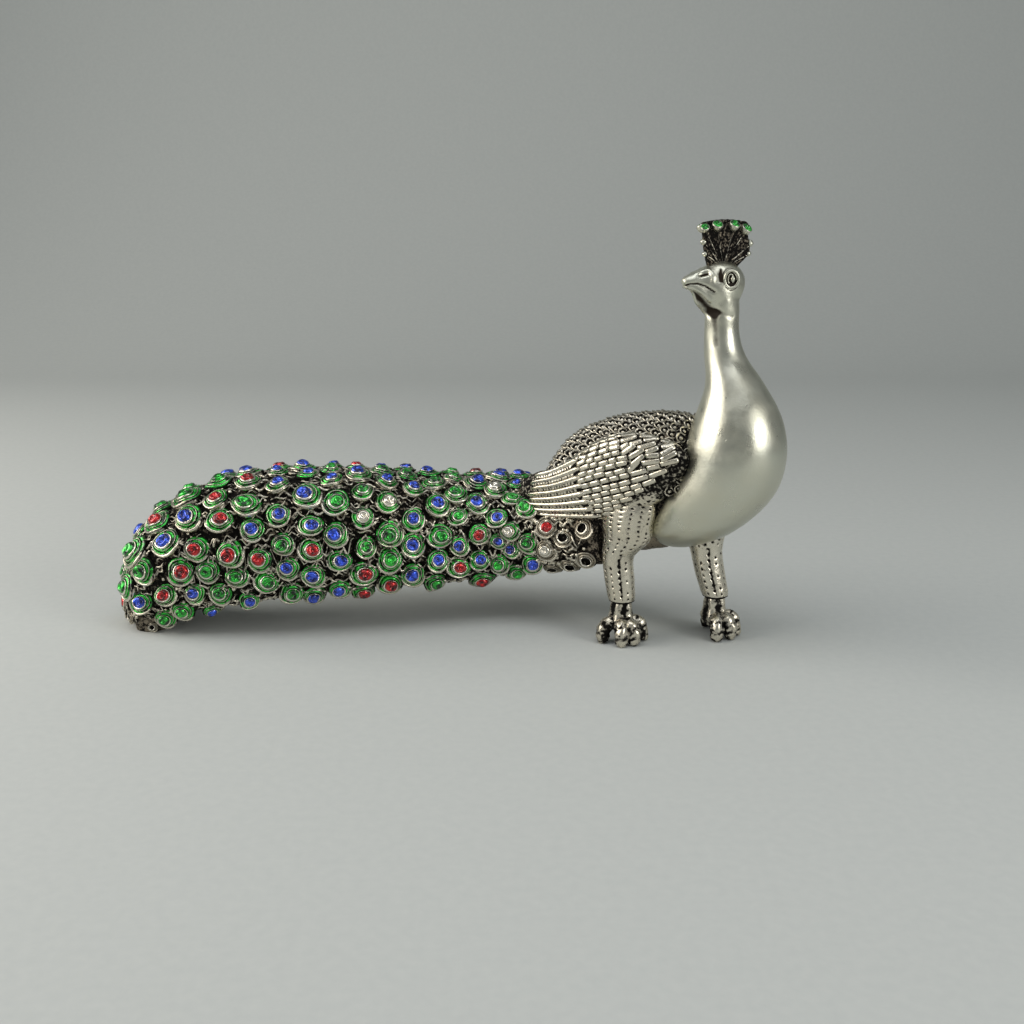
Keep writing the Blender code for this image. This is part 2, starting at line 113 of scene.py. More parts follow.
# Horizontal slices of breast and neck: up, forward, half length, half width
BREAST = (
    (24.6, 2.0, 2.0, 2.0),
    (25.6, 2.0, 5.6, 5.0),
    (28.5, 4.2, 9.8, 8.8),
    (31.5, 6.8, 11.4, 10.8),
    (34.5, 9.2, 12.3, 11.8),
    (38.0, 11.8, 12.7, 12.5),
    (42.0, 14.2, 12.6, 12.7),
    (47.0, 16.0, 12.1, 12.4),
    (52.0, 16.5, 11.8, 11.8),
    (57.0, 16.7, 10.6, 10.6),
    (61.0, 16.5, 9.1, 9.2),
    (64.5, 15.9, 7.5, 7.7),
    (68.0, 14.7, 6.2, 6.4),
    (71.5, 13.0, 5.1, 5.2),
    (75.0, 11.9, 4.4, 4.5),
    (79.0, 11.4, 4.05, 4.1),
    (84.0, 11.3, 4.0, 4.1),
    (89.0, 11.3, 3.4, 3.6),
)
HEAD = (
    (-5.8, 0, 88.0, 0, 0, 0.8, 0.8, 0.8),
    (-5.0, 0, 88.2, 0, 0, 3.2, 3.2, 4.2),
    (-2.5, 0, 88.8, 0, 0, 4.7, 5.0, 7.1),
    (0.0, 0, 89.1, 0, 0, 4.9, 5.2, 8.5),
    (2.6, 0, 89.2, 0, 0, 4.0, 4.5, 7.6),
    (4.6, 0, 89.3, 0, 0, 2.9, 3.4, 5.6),
    (6.4, 0, 89.5, 0, 0, 2.3, 2.4, 3.2),
    (8.0, 0, 89.4, 0, 0, 1.8, 1.8, 1.5),
    (9.2, 0, 89.1, 0, 0, 1.1, 1.2, 1.0),
)
# The crest's root on the crown, and each cup's place from it: ahead, up, radius
CREST_ROOT = (-0.6, 92.6)
CREST_CUPS = (
    (5.1, 9.1, 1.05), (2.0, 9.6, 1.25), (-2.4, 9.6, 1.3), (-5.5, 8.7, 1.3),
    (4.9, 6.0, 0.8), (4.4, 3.3, 0.7), (-7.1, 5.5, 0.95), (-6.7, 3.2, 0.85),
)
LEGS = {
    "right": {"forward": -8.8, "left": -8.6, "lean": 0.1, "thigh": 1.9, "toes": (30, -22, -58, -120)},
    "left": {"forward": 8.6, "left": 8.4, "lean": 0.26, "thigh": 0.0, "toes": (26, -12, -56, 135)},
}
SHANK_END = 10.5
SHANK_RADIUS = 3.7
# Where, along and round the train, the rump's two filled eyes sit among its bare ones
RUMP_EYES = {"rump_red": (0.0888, 0.096), "rump_silver": (0.0904, 6.0651)}
RUMP_END = 0.112
# Out of a hundred eyes on the train, how many have a boss of each colour
BOSS_SHARES = {"blue": 38, "red": 25, "green": 32, "silver": 5}
# Sines of the section angles under which the train carries no eyes, and no wires
NO_EYES_UNDER, NO_WIRES_UNDER = -0.86, -0.8
# Eyes lower than the first height are left out, and those under the second are small and bare
LOWEST_EYE, LOWEST_FULL_EYE = 1.0, 3.4
EYE_KINDS = 6
# How thick a short wire is along its length
VINE_SHARES = (0.5, 1, 1.1, 0.95, 0.8, 0.4)
SCALE_PITCH = (1.85, 2.15)
PAD_WIDTH = 1.42
PAD_ROWS = range(-9, 13)
LONG_FEATHERS = 8
LEG_TOP, LEG_FOOT = 40.0, 3.2
SLEEVE_SEAM = math.radians(-55.0)
# The camera's place in metres, its lens in millimetres, and how far it looks down
CAMERA_PLACE = (0.0175245, -0.3143981, 0.113)
CAMERA_LENS = 45.105
CAMERA_DROP = math.atan2(335, 1283)
# Each light: place and aim, width and height in metres, power in watts, colour
SOFTBOXES = {
    "left_softbox": ((-0.49, -0.04, 0.28), (0.03, 0, 0.04), 0.56, 0.34, 2.3, "#FFF9F0"),
    "right_softbox": ((0.47, -0.36, 0.23), (0.05, 0, 0.05), 0.28, 0.24, 1.05, "#FFFEFA"),
    "top_softbox": ((0.0, -0.20, 0.64), (0.0, 0, 0.02), 0.60, 0.40, 1.25, "#F8FAFF"),
}


def linear(hex_colour):
    """An sRGB hex colour as a linear one with full alpha."""
    channels = [int(hex_colour[k:k + 2], 16) / 255 for k in (1, 3, 5)]
    return tuple(c / 12.92 if c <= 0.04045 else ((c + 0.055) / 1.055) ** 2.4 for c in channels) + (1.0,)


def fill(tree, node, inputs):
    """Gives a node its inputs. Each is a value, or the output socket that it is linked to."""
    for key, value in inputs.items():
        if isinstance(value, bpy.types.NodeSocket):
            tree.links.new(value, node.inputs[key])
        else:
            node.inputs[key].default_value = value


def add_node(tree, kind, inputs=(), **settings):
    """Adds a node with its settings and inputs."""
    made = tree.nodes.new(kind)
    for name, value in settings.items():
        setattr(made, name, value)
    fill(tree, made, dict(inputs))
    return made


# Forms


def standing(place, turn):
    """A turn about the upright at a place on the ground."""
    return Matrix.Translation((*place, 0)) @ Matrix.Rotation(turn, 4, "Z")


BIRD_FRAME = standing(BIRD_PLACE, BODY_TURN)
HEAD_FRAME = standing(HEAD_PLACE, HEAD_TURN)


def clamp(value):
    return min(max(value, 0), 1)


def angles_round(count, offset=0.0):
    """Evenly spaced angles round a circle."""
    return [math.tau * (k + offset) / count for k in range(count)]


def spline(rows, t):
    """Reads rows of numbers as one smooth curve, t running from 0 to 1."""
    last = len(rows) - 1
    x = min(max(t, 0.0), 1.0) * last
    i = min(int(x), last - 1)
    u = x - i
    near = [rows[min(max(k, 0), last)] for k in (i - 1, i, i + 1, i + 2)]
    return [
        0.5 * (2 * q + (r - p) * u + (2 * p - 5 * q + 4 * r - s) * u**2 + (3 * q - p - 3 * r + s) * u**3)
        for p, q, r, s in zip(*near)
    ]


def oval(half_width, above, below, angle, powers):
    """A point of the section, across and up, at an angle from its widest side."""
    c, s = math.cos(angle), math.sin(angle)
    height, power = (above, powers[0]) if s > 0 else (below, powers[1])
    return (
        half_width * math.copysign(abs(c) ** (2 / power), c),
        height * math.copysign(abs(s) ** (2 / power), s),
    )


def directions_at(spot, centre, along, around):
    """The directions of a surface at a spot: along, across and outward, as columns."""
    outward = around.cross(along).normalized()
    if outward.dot(spot - centre) < 0:
        outward.negate()
    return Matrix((along, outward.cross(along).normalized(), outward)).transposed()


class Form:
    """A closed form whose sections follow the rows."""

    def __init__(self, rows, powers=(2.0, 2.0), place=(0, 0), turn=0.0):
        self.rows = rows
        self.powers = powers
        self.base = standing(place, turn)
        self.turn = turn
        marks = [self.centre(k / 200) for k in range(201)]
        self.run = [0.0]
        for a, b in zip(marks, marks[1:]):
            self.run.append(self.run[-1] + (b - a).length)

    def centre(self, t):
        return self.base @ Vector(spline(self.rows, t)[:3])

    def at_length(self, share):
        goal = share * self.run[-1]
        k = next((i for i, r in enumerate(self.run) if r >= goal), 200)
        if k == 0:
            return 0.0
        step = self.run[k] - self.run[k - 1]
        return (k - 1 + (goal - self.run[k - 1]) / step) / 200

    def frame(self, t):
        """Centre, side and up directions of the section at t."""
        row = spline(self.rows, t)
        ahead = (self.centre(min(t + 0.004, 1)) - self.centre(max(t - 0.004, 0))).normalized()
        plan = math.radians(row[3]) + self.turn
        side = Vector((-math.sin(plan), math.cos(plan), 0))
        side = (side - side.dot(ahead) * ahead).normalized()
        up = ahead.cross(side)
        roll = Matrix.Rotation(math.radians(row[4]), 3, ahead)
        return self.centre(t), roll @ side, roll @ up, row

    def point(self, t, angle):
        centre, side, up, row = self.frame(t)
        across, high = oval(row[5], row[6], row[7], angle, self.powers)
        return centre + side * across + up * high

    def section(self, t, sides):
        """The section's evenly turned angles, each with its point and the way out from the centre."""
        centre, side, up, row = self.frame(t)
        for a in angles_round(sides):
            across, high = oval(row[5], row[6], row[7], a, self.powers)
            spot = centre + side * across + up * high
            yield a, spot, (spot - centre).normalized()

    def ring(self, t, count, offset, wobble):
        """Angles of evenly spaced points round the section, and its girth."""
        steps = 120
        points = [self.point(t, math.tau * k / steps) for k in range(steps + 1)]
        run = [0.0]
        for a, b in zip(points, points[1:]):
            run.append(run[-1] + (b - a).length)
        angles = []
        for j in range(count):
            goal = ((j + offset + wobble()) / count % 1.0) * run[-1]
            k = next(i for i, r in enumerate(run) if r > goal)
            angles.append(math.tau * (k - 1 + (goal - run[k - 1]) / (run[k] - run[k - 1])) / steps)
        return sorted(angles), run[-1]

    def place(self, t, angle):
        """The surface's point at t and angle with its directions: along, across and outward, as columns."""
        spot = self.point(t, angle)
        along = (self.point(min(t + 0.01, 1), angle) - self.point(max(t - 0.01, 0), angle)).normalized()
        around = (self.point(t, angle + 0.04) - self.point(t, angle - 0.04)).normalized()
        return spot, directions_at(spot, self.centre(t), along, around)


def zip_rings(bm, first, second):
    """Triangles between two closed rings of vertices given with their angles."""
    i = j = 0
    n, m = len(first), len(second)
    while i < n or j < m:
        a, b = first[i % n][0] + math.tau * (i // n), second[j % m][0] + math.tau * (j // m)
        a_next = first[(i + 1) % n][0] + math.tau * ((i + 1) // n)
        b_next = second[(j + 1) % m][0] + math.tau * ((j + 1) // m)
        va, vb = first[i % n][1], second[j % m][1]
        if j >= m or (i < n and abs(a_next - b) <= abs(b_next - a)):
            bm.faces.new((va, first[(i + 1) % n][1], vb))
            i += 1
        else:
            bm.faces.new((va, second[(j + 1) % m][1], vb))
            j += 1


def train_cells(form):
    """Each eye's place on the train, in the same staggered net as the solid's raised discs.

    Gives (t, angle, radius) of each cell, and the corners where three cells meet.
    """
    rng = random.Random(7)
    count = round(form.run[-1] / ROW_PITCH)
    net = bmesh.new()
    rings, places = [], {}
    for i in range(count):
        t = form.at_length((i + 0.5) / count)
        girth = form.ring(t, 3, 0, lambda: 0)[1]
        eyes = max(4, round(girth / EYE_PITCH))
        angles, _ = form.ring(t, eyes, 0.25 + 0.5 * (i % 2), lambda: rng.uniform(-STRAY, STRAY))
        ring = []
        for angle in angles:
            own_t = min(max(t + rng.uniform(-STRAY, STRAY) * 0.4 / count, 0.001), 0.999)
            vertex = net.verts.new(form.point(own_t, angle))
            places[vertex] = (own_t, angle)
            ring.append((angle, vertex))
        rings.append(ring)
    for first, second in zip(rings, rings[1:]):
        zip_rings(net, first, second)
    cells, corners = [], []
    for vertex, (t, angle) in places.items():
        near = [e.other_vert(vertex).co for e in vertex.link_edges]
        spacing = sum((co - vertex.co).length for co in near) / len(near)
        cells.append((t, angle, spacing / 2))
    for face in net.faces:
        ts = [places[v][0] for v in face.verts]
        angles = [places[v][1] for v in face.verts]
        if max(angles) - min(angles) > math.pi:
            angles = [a + math.tau if a < math.pi else a for a in angles]
        corners.append((sum(ts) / 3, sum(angles) / 3))
    net.free()
    return cells, corners


# Meshes


def in_scene(name, mesh):
    """A new object with this mesh, linked to the scene."""
    obj = bpy.data.objects.new(name, mesh)
    bpy.context.scene.collection.objects.link(obj)
    return obj


def store(mesh, name, kind, values):
    """Stores a value for each point of the mesh."""
    layer = mesh.attributes.new(name, kind, "POINT")
    layer.data.foreach_set("vector" if kind == "FLOAT_VECTOR" else "value", values)


def new_piece(name, points, faces, worn=None):
    """An object from a list of points and faces, with the worn share of each point."""
    mesh = bpy.data.meshes.new(name)
    mesh.from_pydata([tuple(p) for p in points], [], faces)
    if worn is not None:
        store(mesh, "worn", "FLOAT", np.asarray(worn, np.float32))
    mesh.update()
    return in_scene(name, mesh)


def edit(obj, change):
    """Runs a change on the object's mesh."""
    bm = bmesh.new()
    bm.from_mesh(obj.data)
    change(bm)
    bm.to_mesh(obj.data)
    bm.free()


def outward_faces(obj):
    def turn_out(bm):
        bmesh.ops.recalc_face_normals(bm, faces=bm.faces)
        for face in bm.faces:
            face.smooth = True

    edit(obj, turn_out)


def applied(obj, name):
    """The object with its modifiers in its mesh."""
    graph = bpy.context.evaluated_depsgraph_get()
    mesh = bpy.data.meshes.new_from_object(obj.evaluated_get(graph))
    bpy.data.objects.remove(obj)
    mesh.name = name
    return in_scene(name, mesh)


def tube_faces(sides, count):
    """Four-sided faces between rings that follow each other."""
    return [
        (k * sides + j, k * sides + (j + 1) % sides, (k + 1) * sides + (j + 1) % sides, (k + 1) * sides + j)
        for k in range(count - 1) for j in range(sides)
    ]


def loft(rings):
    """Points and faces of a closed tube over rings of equal length, each end closed round a middle point."""
    sides = len(rings[0])
    points = [p for ring in rings for p in ring]
    faces = tube_faces(sides, len(rings))
    for ring, first in ((rings[0], 0), (rings[-1], (len(rings) - 1) * sides)):
        points.append(sum((Vector(p) for p in ring), Vector()) / sides)
        faces += [(first + j, first + (j + 1) % sides, len(points) - 1) for j in range(sides)]
    return points, faces


def turned(profile, segments, shape=None, loop=False):
    """Points, faces and worn shares of a profile turned round the Z axis.

    A profile's rows are radius, height and worn share. shape(radius, angle, height) may move a point.
    """
    points, faces, worn = [], [], []
    shape = shape or (lambda r, a, z: (r * math.cos(a), r * math.sin(a), z))
    rows = []
    for radius, height, share in profile:
        if radius == 0:
            rows.append([len(points)] * segments)
            points.append(shape(0, 0, height))
            worn.append(share)
            continue
        rows.append(list(range(len(points), len(points) + segments)))
        points += [shape(radius, angle, height) for angle in angles_round(segments)]
        worn += [share] * segments
    pairs = list(zip(rows, rows[1:])) + ([(rows[-1], rows[0])] if loop else [])
    for a, b in pairs:
        for j in range(segments):
            k = (j + 1) % segments
            faces.append(tuple(dict.fromkeys((a[j], a[k], b[k], b[j]))))
    return points, faces, worn


def merged(parts):
    """Several (points, faces, worn) as one."""
    points, faces, worn = [], [], []
    for p, f, w in parts:
        faces += [tuple(k + len(points) for k in face) for face in f]
        points += p
        worn += w
    return points, faces, worn


def wire_loop(radius, height, thick, segments, sides, shape):
    """A closed ring of round wire, brightest on top."""
    profile = [
        (radius + thick * math.cos(a), height + thick * math.sin(a), 0.55 + 0.45 * math.sin(a))
        for a in angles_round(sides, 0.5)
    ]
    return turned(profile, segments, shape, loop=True)


def shape_set(name, makers):
    """A collection of small shapes to be laid many times, in the order of the list."""
    shapes = bpy.data.collections.new(name)
    for k, (points, faces, worn) in enumerate(makers):
        obj = new_piece(f"{name}_{k}", points, faces, worn)
        bpy.context.scene.collection.objects.unlink(obj)
        outward_faces(obj)
        shapes.objects.link(obj)
    return shapes


# Geometry Nodes


def attribute(tree, name, kind):
    return add_node(tree, "GeometryNodeInputNamedAttribute", {"Name": name}, data_type=kind).outputs["Attribute"]


def maths(tree, operation, a, b):
    return add_node(tree, "ShaderNodeMath", {0: a, 1: b}, operation=operation).outputs[0]


def start_tree(name, inputs):
    """A tree with its named inputs, the geometry first and the material last, and the sockets that they feed."""
    tree = bpy.data.node_groups.new(name, "GeometryNodeTree")
    for title, kind in {"Geometry": "Geometry", **inputs, "Material": "Material"}.items():
        tree.interface.new_socket(title, in_out="INPUT", socket_type=f"NodeSocket{kind}")
    tree.interface.new_socket("Geometry", in_out="OUTPUT", socket_type="NodeSocketGeometry")
    return tree, tree.nodes.new("NodeGroupInput").outputs


def end_tree(tree, shape, material):
    """Makes the shapes real, gives them their material and passes them out."""
    real = add_node(tree, "GeometryNodeRealizeInstances", {0: shape.outputs[0]})
    finish = add_node(tree, "GeometryNodeSetMaterial", {0: real.outputs[0], "Material": material})
    add_node(tree, "NodeGroupOutput", {0: finish.outputs[0]})
    return tree


def lay_on_points_tree():
    """Lays one of a set of shapes on each point, by the point's own turn, size and kind."""
    tree, given = start_tree(
        "lay_on_points", {"Shapes": "Collection", "Uneven Turn": "Float", "Uneven Size": "Float", "Seed": "Int"}
    )
    shapes = add_node(
        tree, "GeometryNodeCollectionInfo",
        {"Collection": given["Shapes"], "Separate Children": True, "Reset Children": True},
    )
    turn = add_node(tree, "FunctionNodeEulerToRotation", {"Euler": attribute(tree, "turn", "FLOAT_VECTOR")})
    least = maths(tree, "MULTIPLY", given["Uneven Turn"], -1.0)
    low = add_node(tree, "ShaderNodeCombineXYZ", {k: least for k in range(3)})
    high = add_node(tree, "ShaderNodeCombineXYZ", {k: given["Uneven Turn"] for k in range(3)})
    wobble = add_node(
        tree, "FunctionNodeRandomValue", {0: low.outputs[0], 1: high.outputs[0], "Seed": given["Seed"]},
        data_type="FLOAT_VECTOR",
    )
    tilted = add_node(
        tree, "FunctionNodeRotateRotation",
        {0: turn.outputs[0], 1: add_node(tree, "FunctionNodeEulerToRotation", {0: wobble.outputs[0]}).outputs[0]},
        rotation_space="LOCAL",
    )
    smallest, largest = (maths(tree, way, 1.0, given["Uneven Size"]) for way in ("SUBTRACT", "ADD"))
    growth = add_node(
        tree, "FunctionNodeRandomValue", {2: smallest, 3: largest, "Seed": given["Seed"]}, data_type="FLOAT"
    )
    size = add_node(
        tree, "ShaderNodeVectorMath", {0: attribute(tree, "size", "FLOAT_VECTOR"), "Scale": growth.outputs[1]},
        operation="SCALE",
    )
    laid_shapes = add_node(
        tree, "GeometryNodeInstanceOnPoints",
        {
            "Points": given["Geometry"], "Instance": shapes.outputs[0], "Pick Instance": True,
            "Instance Index": attribute(tree, "kind", "INT"), "Rotation": tilted.outputs[0],
            "Scale": size.outputs[0],
        },
    )
    return end_tree(tree, laid_shapes, given["Material"])


def draw_wire_tree():
    """Turns lines into round wires, as thick as each point says."""
    tree, given = start_tree(
        "draw_wire", {"Thickness": "Float", "Sides": "Int", "Least Worn": "Float", "Most Worn": "Float"}
    )
    lines = add_node(tree, "GeometryNodeMeshToCurve", {0: given["Geometry"]})
    section = add_node(
        tree, "GeometryNodeCurvePrimitiveCircle", {"Resolution": given["Sides"], "Radius": 1.0}, mode="RADIUS"
    )
    thick = maths(tree, "MULTIPLY", attribute(tree, "thick", "FLOAT"), given["Thickness"])
    wire = add_node(
        tree, "GeometryNodeCurveToMesh",
        {"Curve": lines.outputs[0], "Profile Curve": section.outputs[0], "Scale": thick, "Fill Caps": True},
    )
    rub = add_node(
        tree, "FunctionNodeRandomValue", {2: given["Least Worn"], 3: given["Most Worn"], "Seed": 3}, data_type="FLOAT"
    )
    stored = add_node(
        tree, "GeometryNodeStoreNamedAttribute",
        {"Geometry": wire.outputs[0], "Name": "worn", "Value": rub.outputs[1]}, data_type="FLOAT", domain="POINT",
    )
    return end_tree(tree, stored, given["Material"])


def grown(name, base, tree, inputs):
    """Runs a tree on a mesh and gives the result as a plain mesh object."""
    obj = in_scene(name + "_lines", base)
    modifier = obj.modifiers.new("grow", "NODES")
    modifier.node_group = tree
    sockets = {item.name: item.identifier for item in tree.interface.items_tree if item.in_out == "INPUT"}
    for key, value in inputs.items():
        modifier[sockets[key]] = value
    made = applied(obj, name)
    outward_faces(made)
    return made


def laid(name, spots, shapes, material, uneven_turn=0.0, uneven_size=0.0, seed=1):
    """spots: (point, 3x3 directions, size as three numbers, kind) for each shape to lay."""
    mesh = bpy.data.meshes.new(name + "_spots")
    mesh.from_pydata([tuple(spot[0]) for spot in spots], [], [])
    turns = [tuple(spot[1].to_euler()) for spot in spots]
    store(mesh, "turn", "FLOAT_VECTOR", np.ravel(turns))
    store(mesh, "size", "FLOAT_VECTOR", np.ravel([spot[2] for spot in spots]))
    store(mesh, "kind", "INT", [spot[3] for spot in spots])
    return grown(
        name, mesh, LAY_ON_POINTS,
        {"Shapes": shapes, "Uneven Turn": uneven_turn, "Uneven Size": uneven_size, "Seed": seed, "Material": material},
    )


def wired(name, lines, thickness, sides, material, worn=(0.9, 0.9)):
    """lines: lists of (point, thickness share). worn: the least and the most that the wire is rubbed bright."""
    points, edges, thick = [], [], []
    for line in lines:
        for k, (point, share) in enumerate(line):
            if k:
                edges.append((len(points) - 1, len(points)))
            points.append(tuple(point))
            thick.append(share)
    mesh = bpy.data.meshes.new(name + "_lines")
    mesh.from_pydata(points, edges, [])
    store(mesh, "thick", "FLOAT", thick)
    return grown(name, mesh, DRAW_WIRE, {
        "Thickness": thickness, "Sides": sides, "Least Worn": worn[0], "Most Worn": worn[1], "Material": material,
    })


def finish_piece(obj, material=None):
    """Puts a finished piece in its place in the frame and names what it stands for."""
    if material:
        obj.data.materials.clear()
        obj.data.materials.append(material)
    obj.data.transform(Matrix.Scale(MILLIMETRE, 4) @ Matrix.Translation(LAYOUT_ORIGIN))
    for vertex in obj.data.vertices:
        vertex.co.z = max(vertex.co.z, 0.0)
    obj.data.update()
    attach(obj, "root")
    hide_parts("peacock")
    return obj


def cast_piece(name, points, faces, worn, finish):
    """A closed piece of silver, finished and in its place."""
    obj = new_piece(name, points, faces, worn)
    outward_faces(obj)
    return finish_piece(obj, finish)


# Finishes


def start_material(name):
    """A material with its tree, its shader and the place on the object that its textures read."""
    material = bpy.data.materials.new(name)
    material.use_nodes = True
    tree = material.node_tree
    return material, tree, tree.nodes["Principled BSDF"], add_node(tree, "ShaderNodeTexCoord").outputs["Object"]


def mottle(tree, place, size, detail):
    """Soft spots of about this many millimetres."""
    inputs = {"Vector": place, "Scale": 1 / (size * MILLIMETRE), "Detail": detail}
    return add_node(tree, "ShaderNodeTexNoise", inputs).outputs["Fac"]


def mapped(tree, value, limits, results=(0.0, 1.0), **settings):
    """The value, stretched from its limits to the results."""
    inputs = dict(enumerate((value, *limits, *results)))
    return add_node(tree, "ShaderNodeMapRange", inputs, **settings).outputs[0]


def blended(tree, share, low, high):
    """A colour that runs from low to high with the share."""
    return add_node(tree, "ShaderNodeMix", {0: share, 6: low, 7: high}, data_type="RGBA").outputs[2]


def raised(tree, height, depth):
    """A surface roughened by this many millimetres."""
    inputs = {"Strength": 1.0, "Distance": depth * MILLIMETRE, "Height": height}
    return add_node(tree, "ShaderNodeBump", inputs).outputs[0]


def silver_finish(name, bright, dark, rough, oxide_rough, speck_size, speck, bump_height, pit=0.0):
    """Cast silver. The worn share of the surface says how far the polishing cloth reached:
    high places stay bright and recesses keep their dark oxide. Under the head's beak it also carries painted shade."""
    material, tree, shader, place = start_material(name)
    smudge = mottle(tree, place, speck_size, 4.0)
    worn = add_node(tree, "ShaderNodeAttribute", attribute_name="worn").outputs["Fac"]
    share = maths(tree, "ADD", worn, mapped(tree, smudge, (0.3, 0.7), (-speck, speck)))
    reach = mapped(tree, share, (0.22, 0.62), interpolation_type="SMOOTHSTEP")
    tint = blended(tree, mottle(tree, place, 9, 2.0), linear(bright), linear(yellowed(bright)))
    fine = mapped(tree, smudge, (0.25, 0.75), (rough * 0.72, rough * 1.3))
    height = mottle(tree, place, 0.45, 3.0)
    if pit:
        cells = add_node(tree, "ShaderNodeTexVoronoi", {"Vector": place, "Scale": 1 / (4.4 * MILLIMETRE)})
        height = maths(tree, "ADD", height, mapped(tree, cells.outputs["Distance"], (0.02, 0.06), (-pit, 0.0)))
    fill(tree, shader, {
        "Base Color": blended(tree, reach, linear(dark), tint),
        "Roughness": add_node(tree, "ShaderNodeMix", {0: reach, 2: oxide_rough, 3: fine}).outputs[0],
        "Metallic": mapped(tree, reach, (0.0, 1.0), (0.1, 1.0)),
        "Normal": raised(tree, height, bump_height),
        "Specular IOR Level": 0.15,
    })
    return material


def yellowed(hex_colour):
    """The same silver a little yellower, as thin sulphide tarnish makes it."""
    red, green, blue = (int(hex_colour[k:k + 2], 16) for k in (1, 3, 5))
    return f"#{red:02x}{int(green * 0.975):02x}{int(blue * 0.93):02x}"


def enamel_finish(name, deep, light):
    """Fired translucent enamel over silver: saturated glass that lights up where it is thin, with a wet gloss."""
    material, tree, shader, place = start_material(name)
    thin = mapped(tree, mottle(tree, place, 1.3, 2.0), (0.38, 0.62))
    fill(tree, shader, {
        "Base Color": blended(tree, thin, linear(deep), linear(light)),
        "Normal": raised(tree, mottle(tree, place, 0.9, 1.0), 0.22),
        "Metallic": 0.6, "Roughness": 0.22, "Coat Weight": 0.8, "Coat Roughness": 0.04, "Coat IOR": 1.55,
    })
    return material


# Train


def eye_design(number):
    """How one kind of eye is pressed out of true: its middle off centre, its rim wavy and uneven in height."""
    rng = random.Random(100 + number)
    shift_x, shift_y = rng.uniform(-0.26, 0.30), rng.uniform(-0.04, 0.26)
    waves = [
        (n, rng.uniform(0, 6.28), rng.uniform(*sizes))
        for n, sizes in ((2, (0.03, 0.07)), (3, (0.02, 0.045)), (5, (0.01, 0.025)))
    ]
    lifts = [(n, rng.uniform(0, 6.28), rng.uniform(0.03, 0.07)) for n in (1, 3)]

    def shape(r, a, z):
        reach = 1 + sum(size * math.sin(n * a + phase) for n, phase, size in waves) * min(r, 1)
        lift = sum(size * math.sin(n * a + phase) for n, phase, size in lifts) * min(r, 1)
        inner = 1 - min(r, 1)
        return r * reach * math.cos(a) + shift_x * inner, r * reach * math.sin(a) + shift_y * inner, z + lift

    return shape


def swollen(shape, radius, height, swell):
    """The same shape, with a wire at this radius and height thicker on the eye's lower side."""

    def thicker(r, a, z):
        k = 1 + swell * math.sin(a)
        return shape(radius + (r - radius) * k, a, height + (z - height) * k)

    return thicker


def coil(radii, heights, turns, thick, segments, sides, shape):
    """A wire that winds outwards, closed at both ends."""
    rings = []
    around = angles_round(sides, 0.5)
    for k in range(segments + 1):
        u = k / segments
        radius = radii[0] + (radii[1] - radii[0]) * u
        height = heights[0] + (heights[1] - heights[0]) * u
        rings.append([
            shape(radius + thick * math.cos(b), math.tau * turns * u, height + thick * math.sin(b)) for b in around
        ])
    points, faces = loft(rings)
    return points, faces, [0.38 + 0.42 * math.sin(b) for _ in rings for b in around] + [0.3, 0.3]


def lower_lit(shape, middle, change):
    """The same shape, rubbed bright on the eye's lower side and left dark on its upper side."""
    points, faces, worn = shape
    return points, faces, [w * min(1, max(0.1, middle + change * y)) for w, (_, y, _) in zip(worn, points)]


# Profiles of an eye of outer radius 1: radius, height and worn share
BANDS = (
    ((0.94, 0.20, 1), (0.85, 0.31, 1), (0.76, 0.32, 1), (0.80, 0.05, 1)),
    ((0.74, 0.31, 1), (0.65, 0.43, 1), (0.54, 0.45, 1), (0.60, 0.15, 1)),
)
BOSS = (
    (0, 0.0, 1), (0.46, 0.30, 1), (0.47, 0.50, 1), (0.42, 0.66, 1), (0.29, 0.76, 1), (0.14, 0.62, 1), (0, 0.44, 1),
)
SEAT = (
    (0, -0.55, 0), (0.66, -0.5, 0.1), (0.88, -0.25, 0.6), (0.99, 0.02, 0.95), (0.985, 0.15, 1.0), (0.90, 0.17, 0.3),
    (0, 0.2, 0.2),
)


def eye_shapes():
    """The parts of an eye, of outer radius 1, with its lower side towards +Y: wires, bands, boss and seat."""
    made = {name: [] for name in ("outer_wire", "inner_wire", "coil", "bands", "boss", "seat")}
    for k in range(EYE_KINDS):
        d = eye_design(k)
        outer = wire_loop(0.95, 0.22, 0.056, 20, 5, swollen(d, 0.95, 0.22, 0.95))
        made["outer_wire"].append(lower_lit(outer, 0.22, 0.8))
        made["inner_wire"].append(wire_loop(0.50, 0.50, 0.066, 16, 4, swollen(d, 0.50, 0.50, 0.75)))
        made["coil"].append(coil((0.62, 0.88), (0.44, 0.27), 1.15 + 0.1 * k, 0.036, 24, 3, d))
        made["bands"].append(merged([turned(band, n, d, loop=True) for band, n in zip(BANDS, (18, 15))]))
        made["boss"].append(turned(BOSS, 13, d))
        made["seat"].append(lower_lit(turned(SEAT, 18, d), 0.32, 0.8))
    return {name: shape_set(name, makers) for name, makers in made.items()}


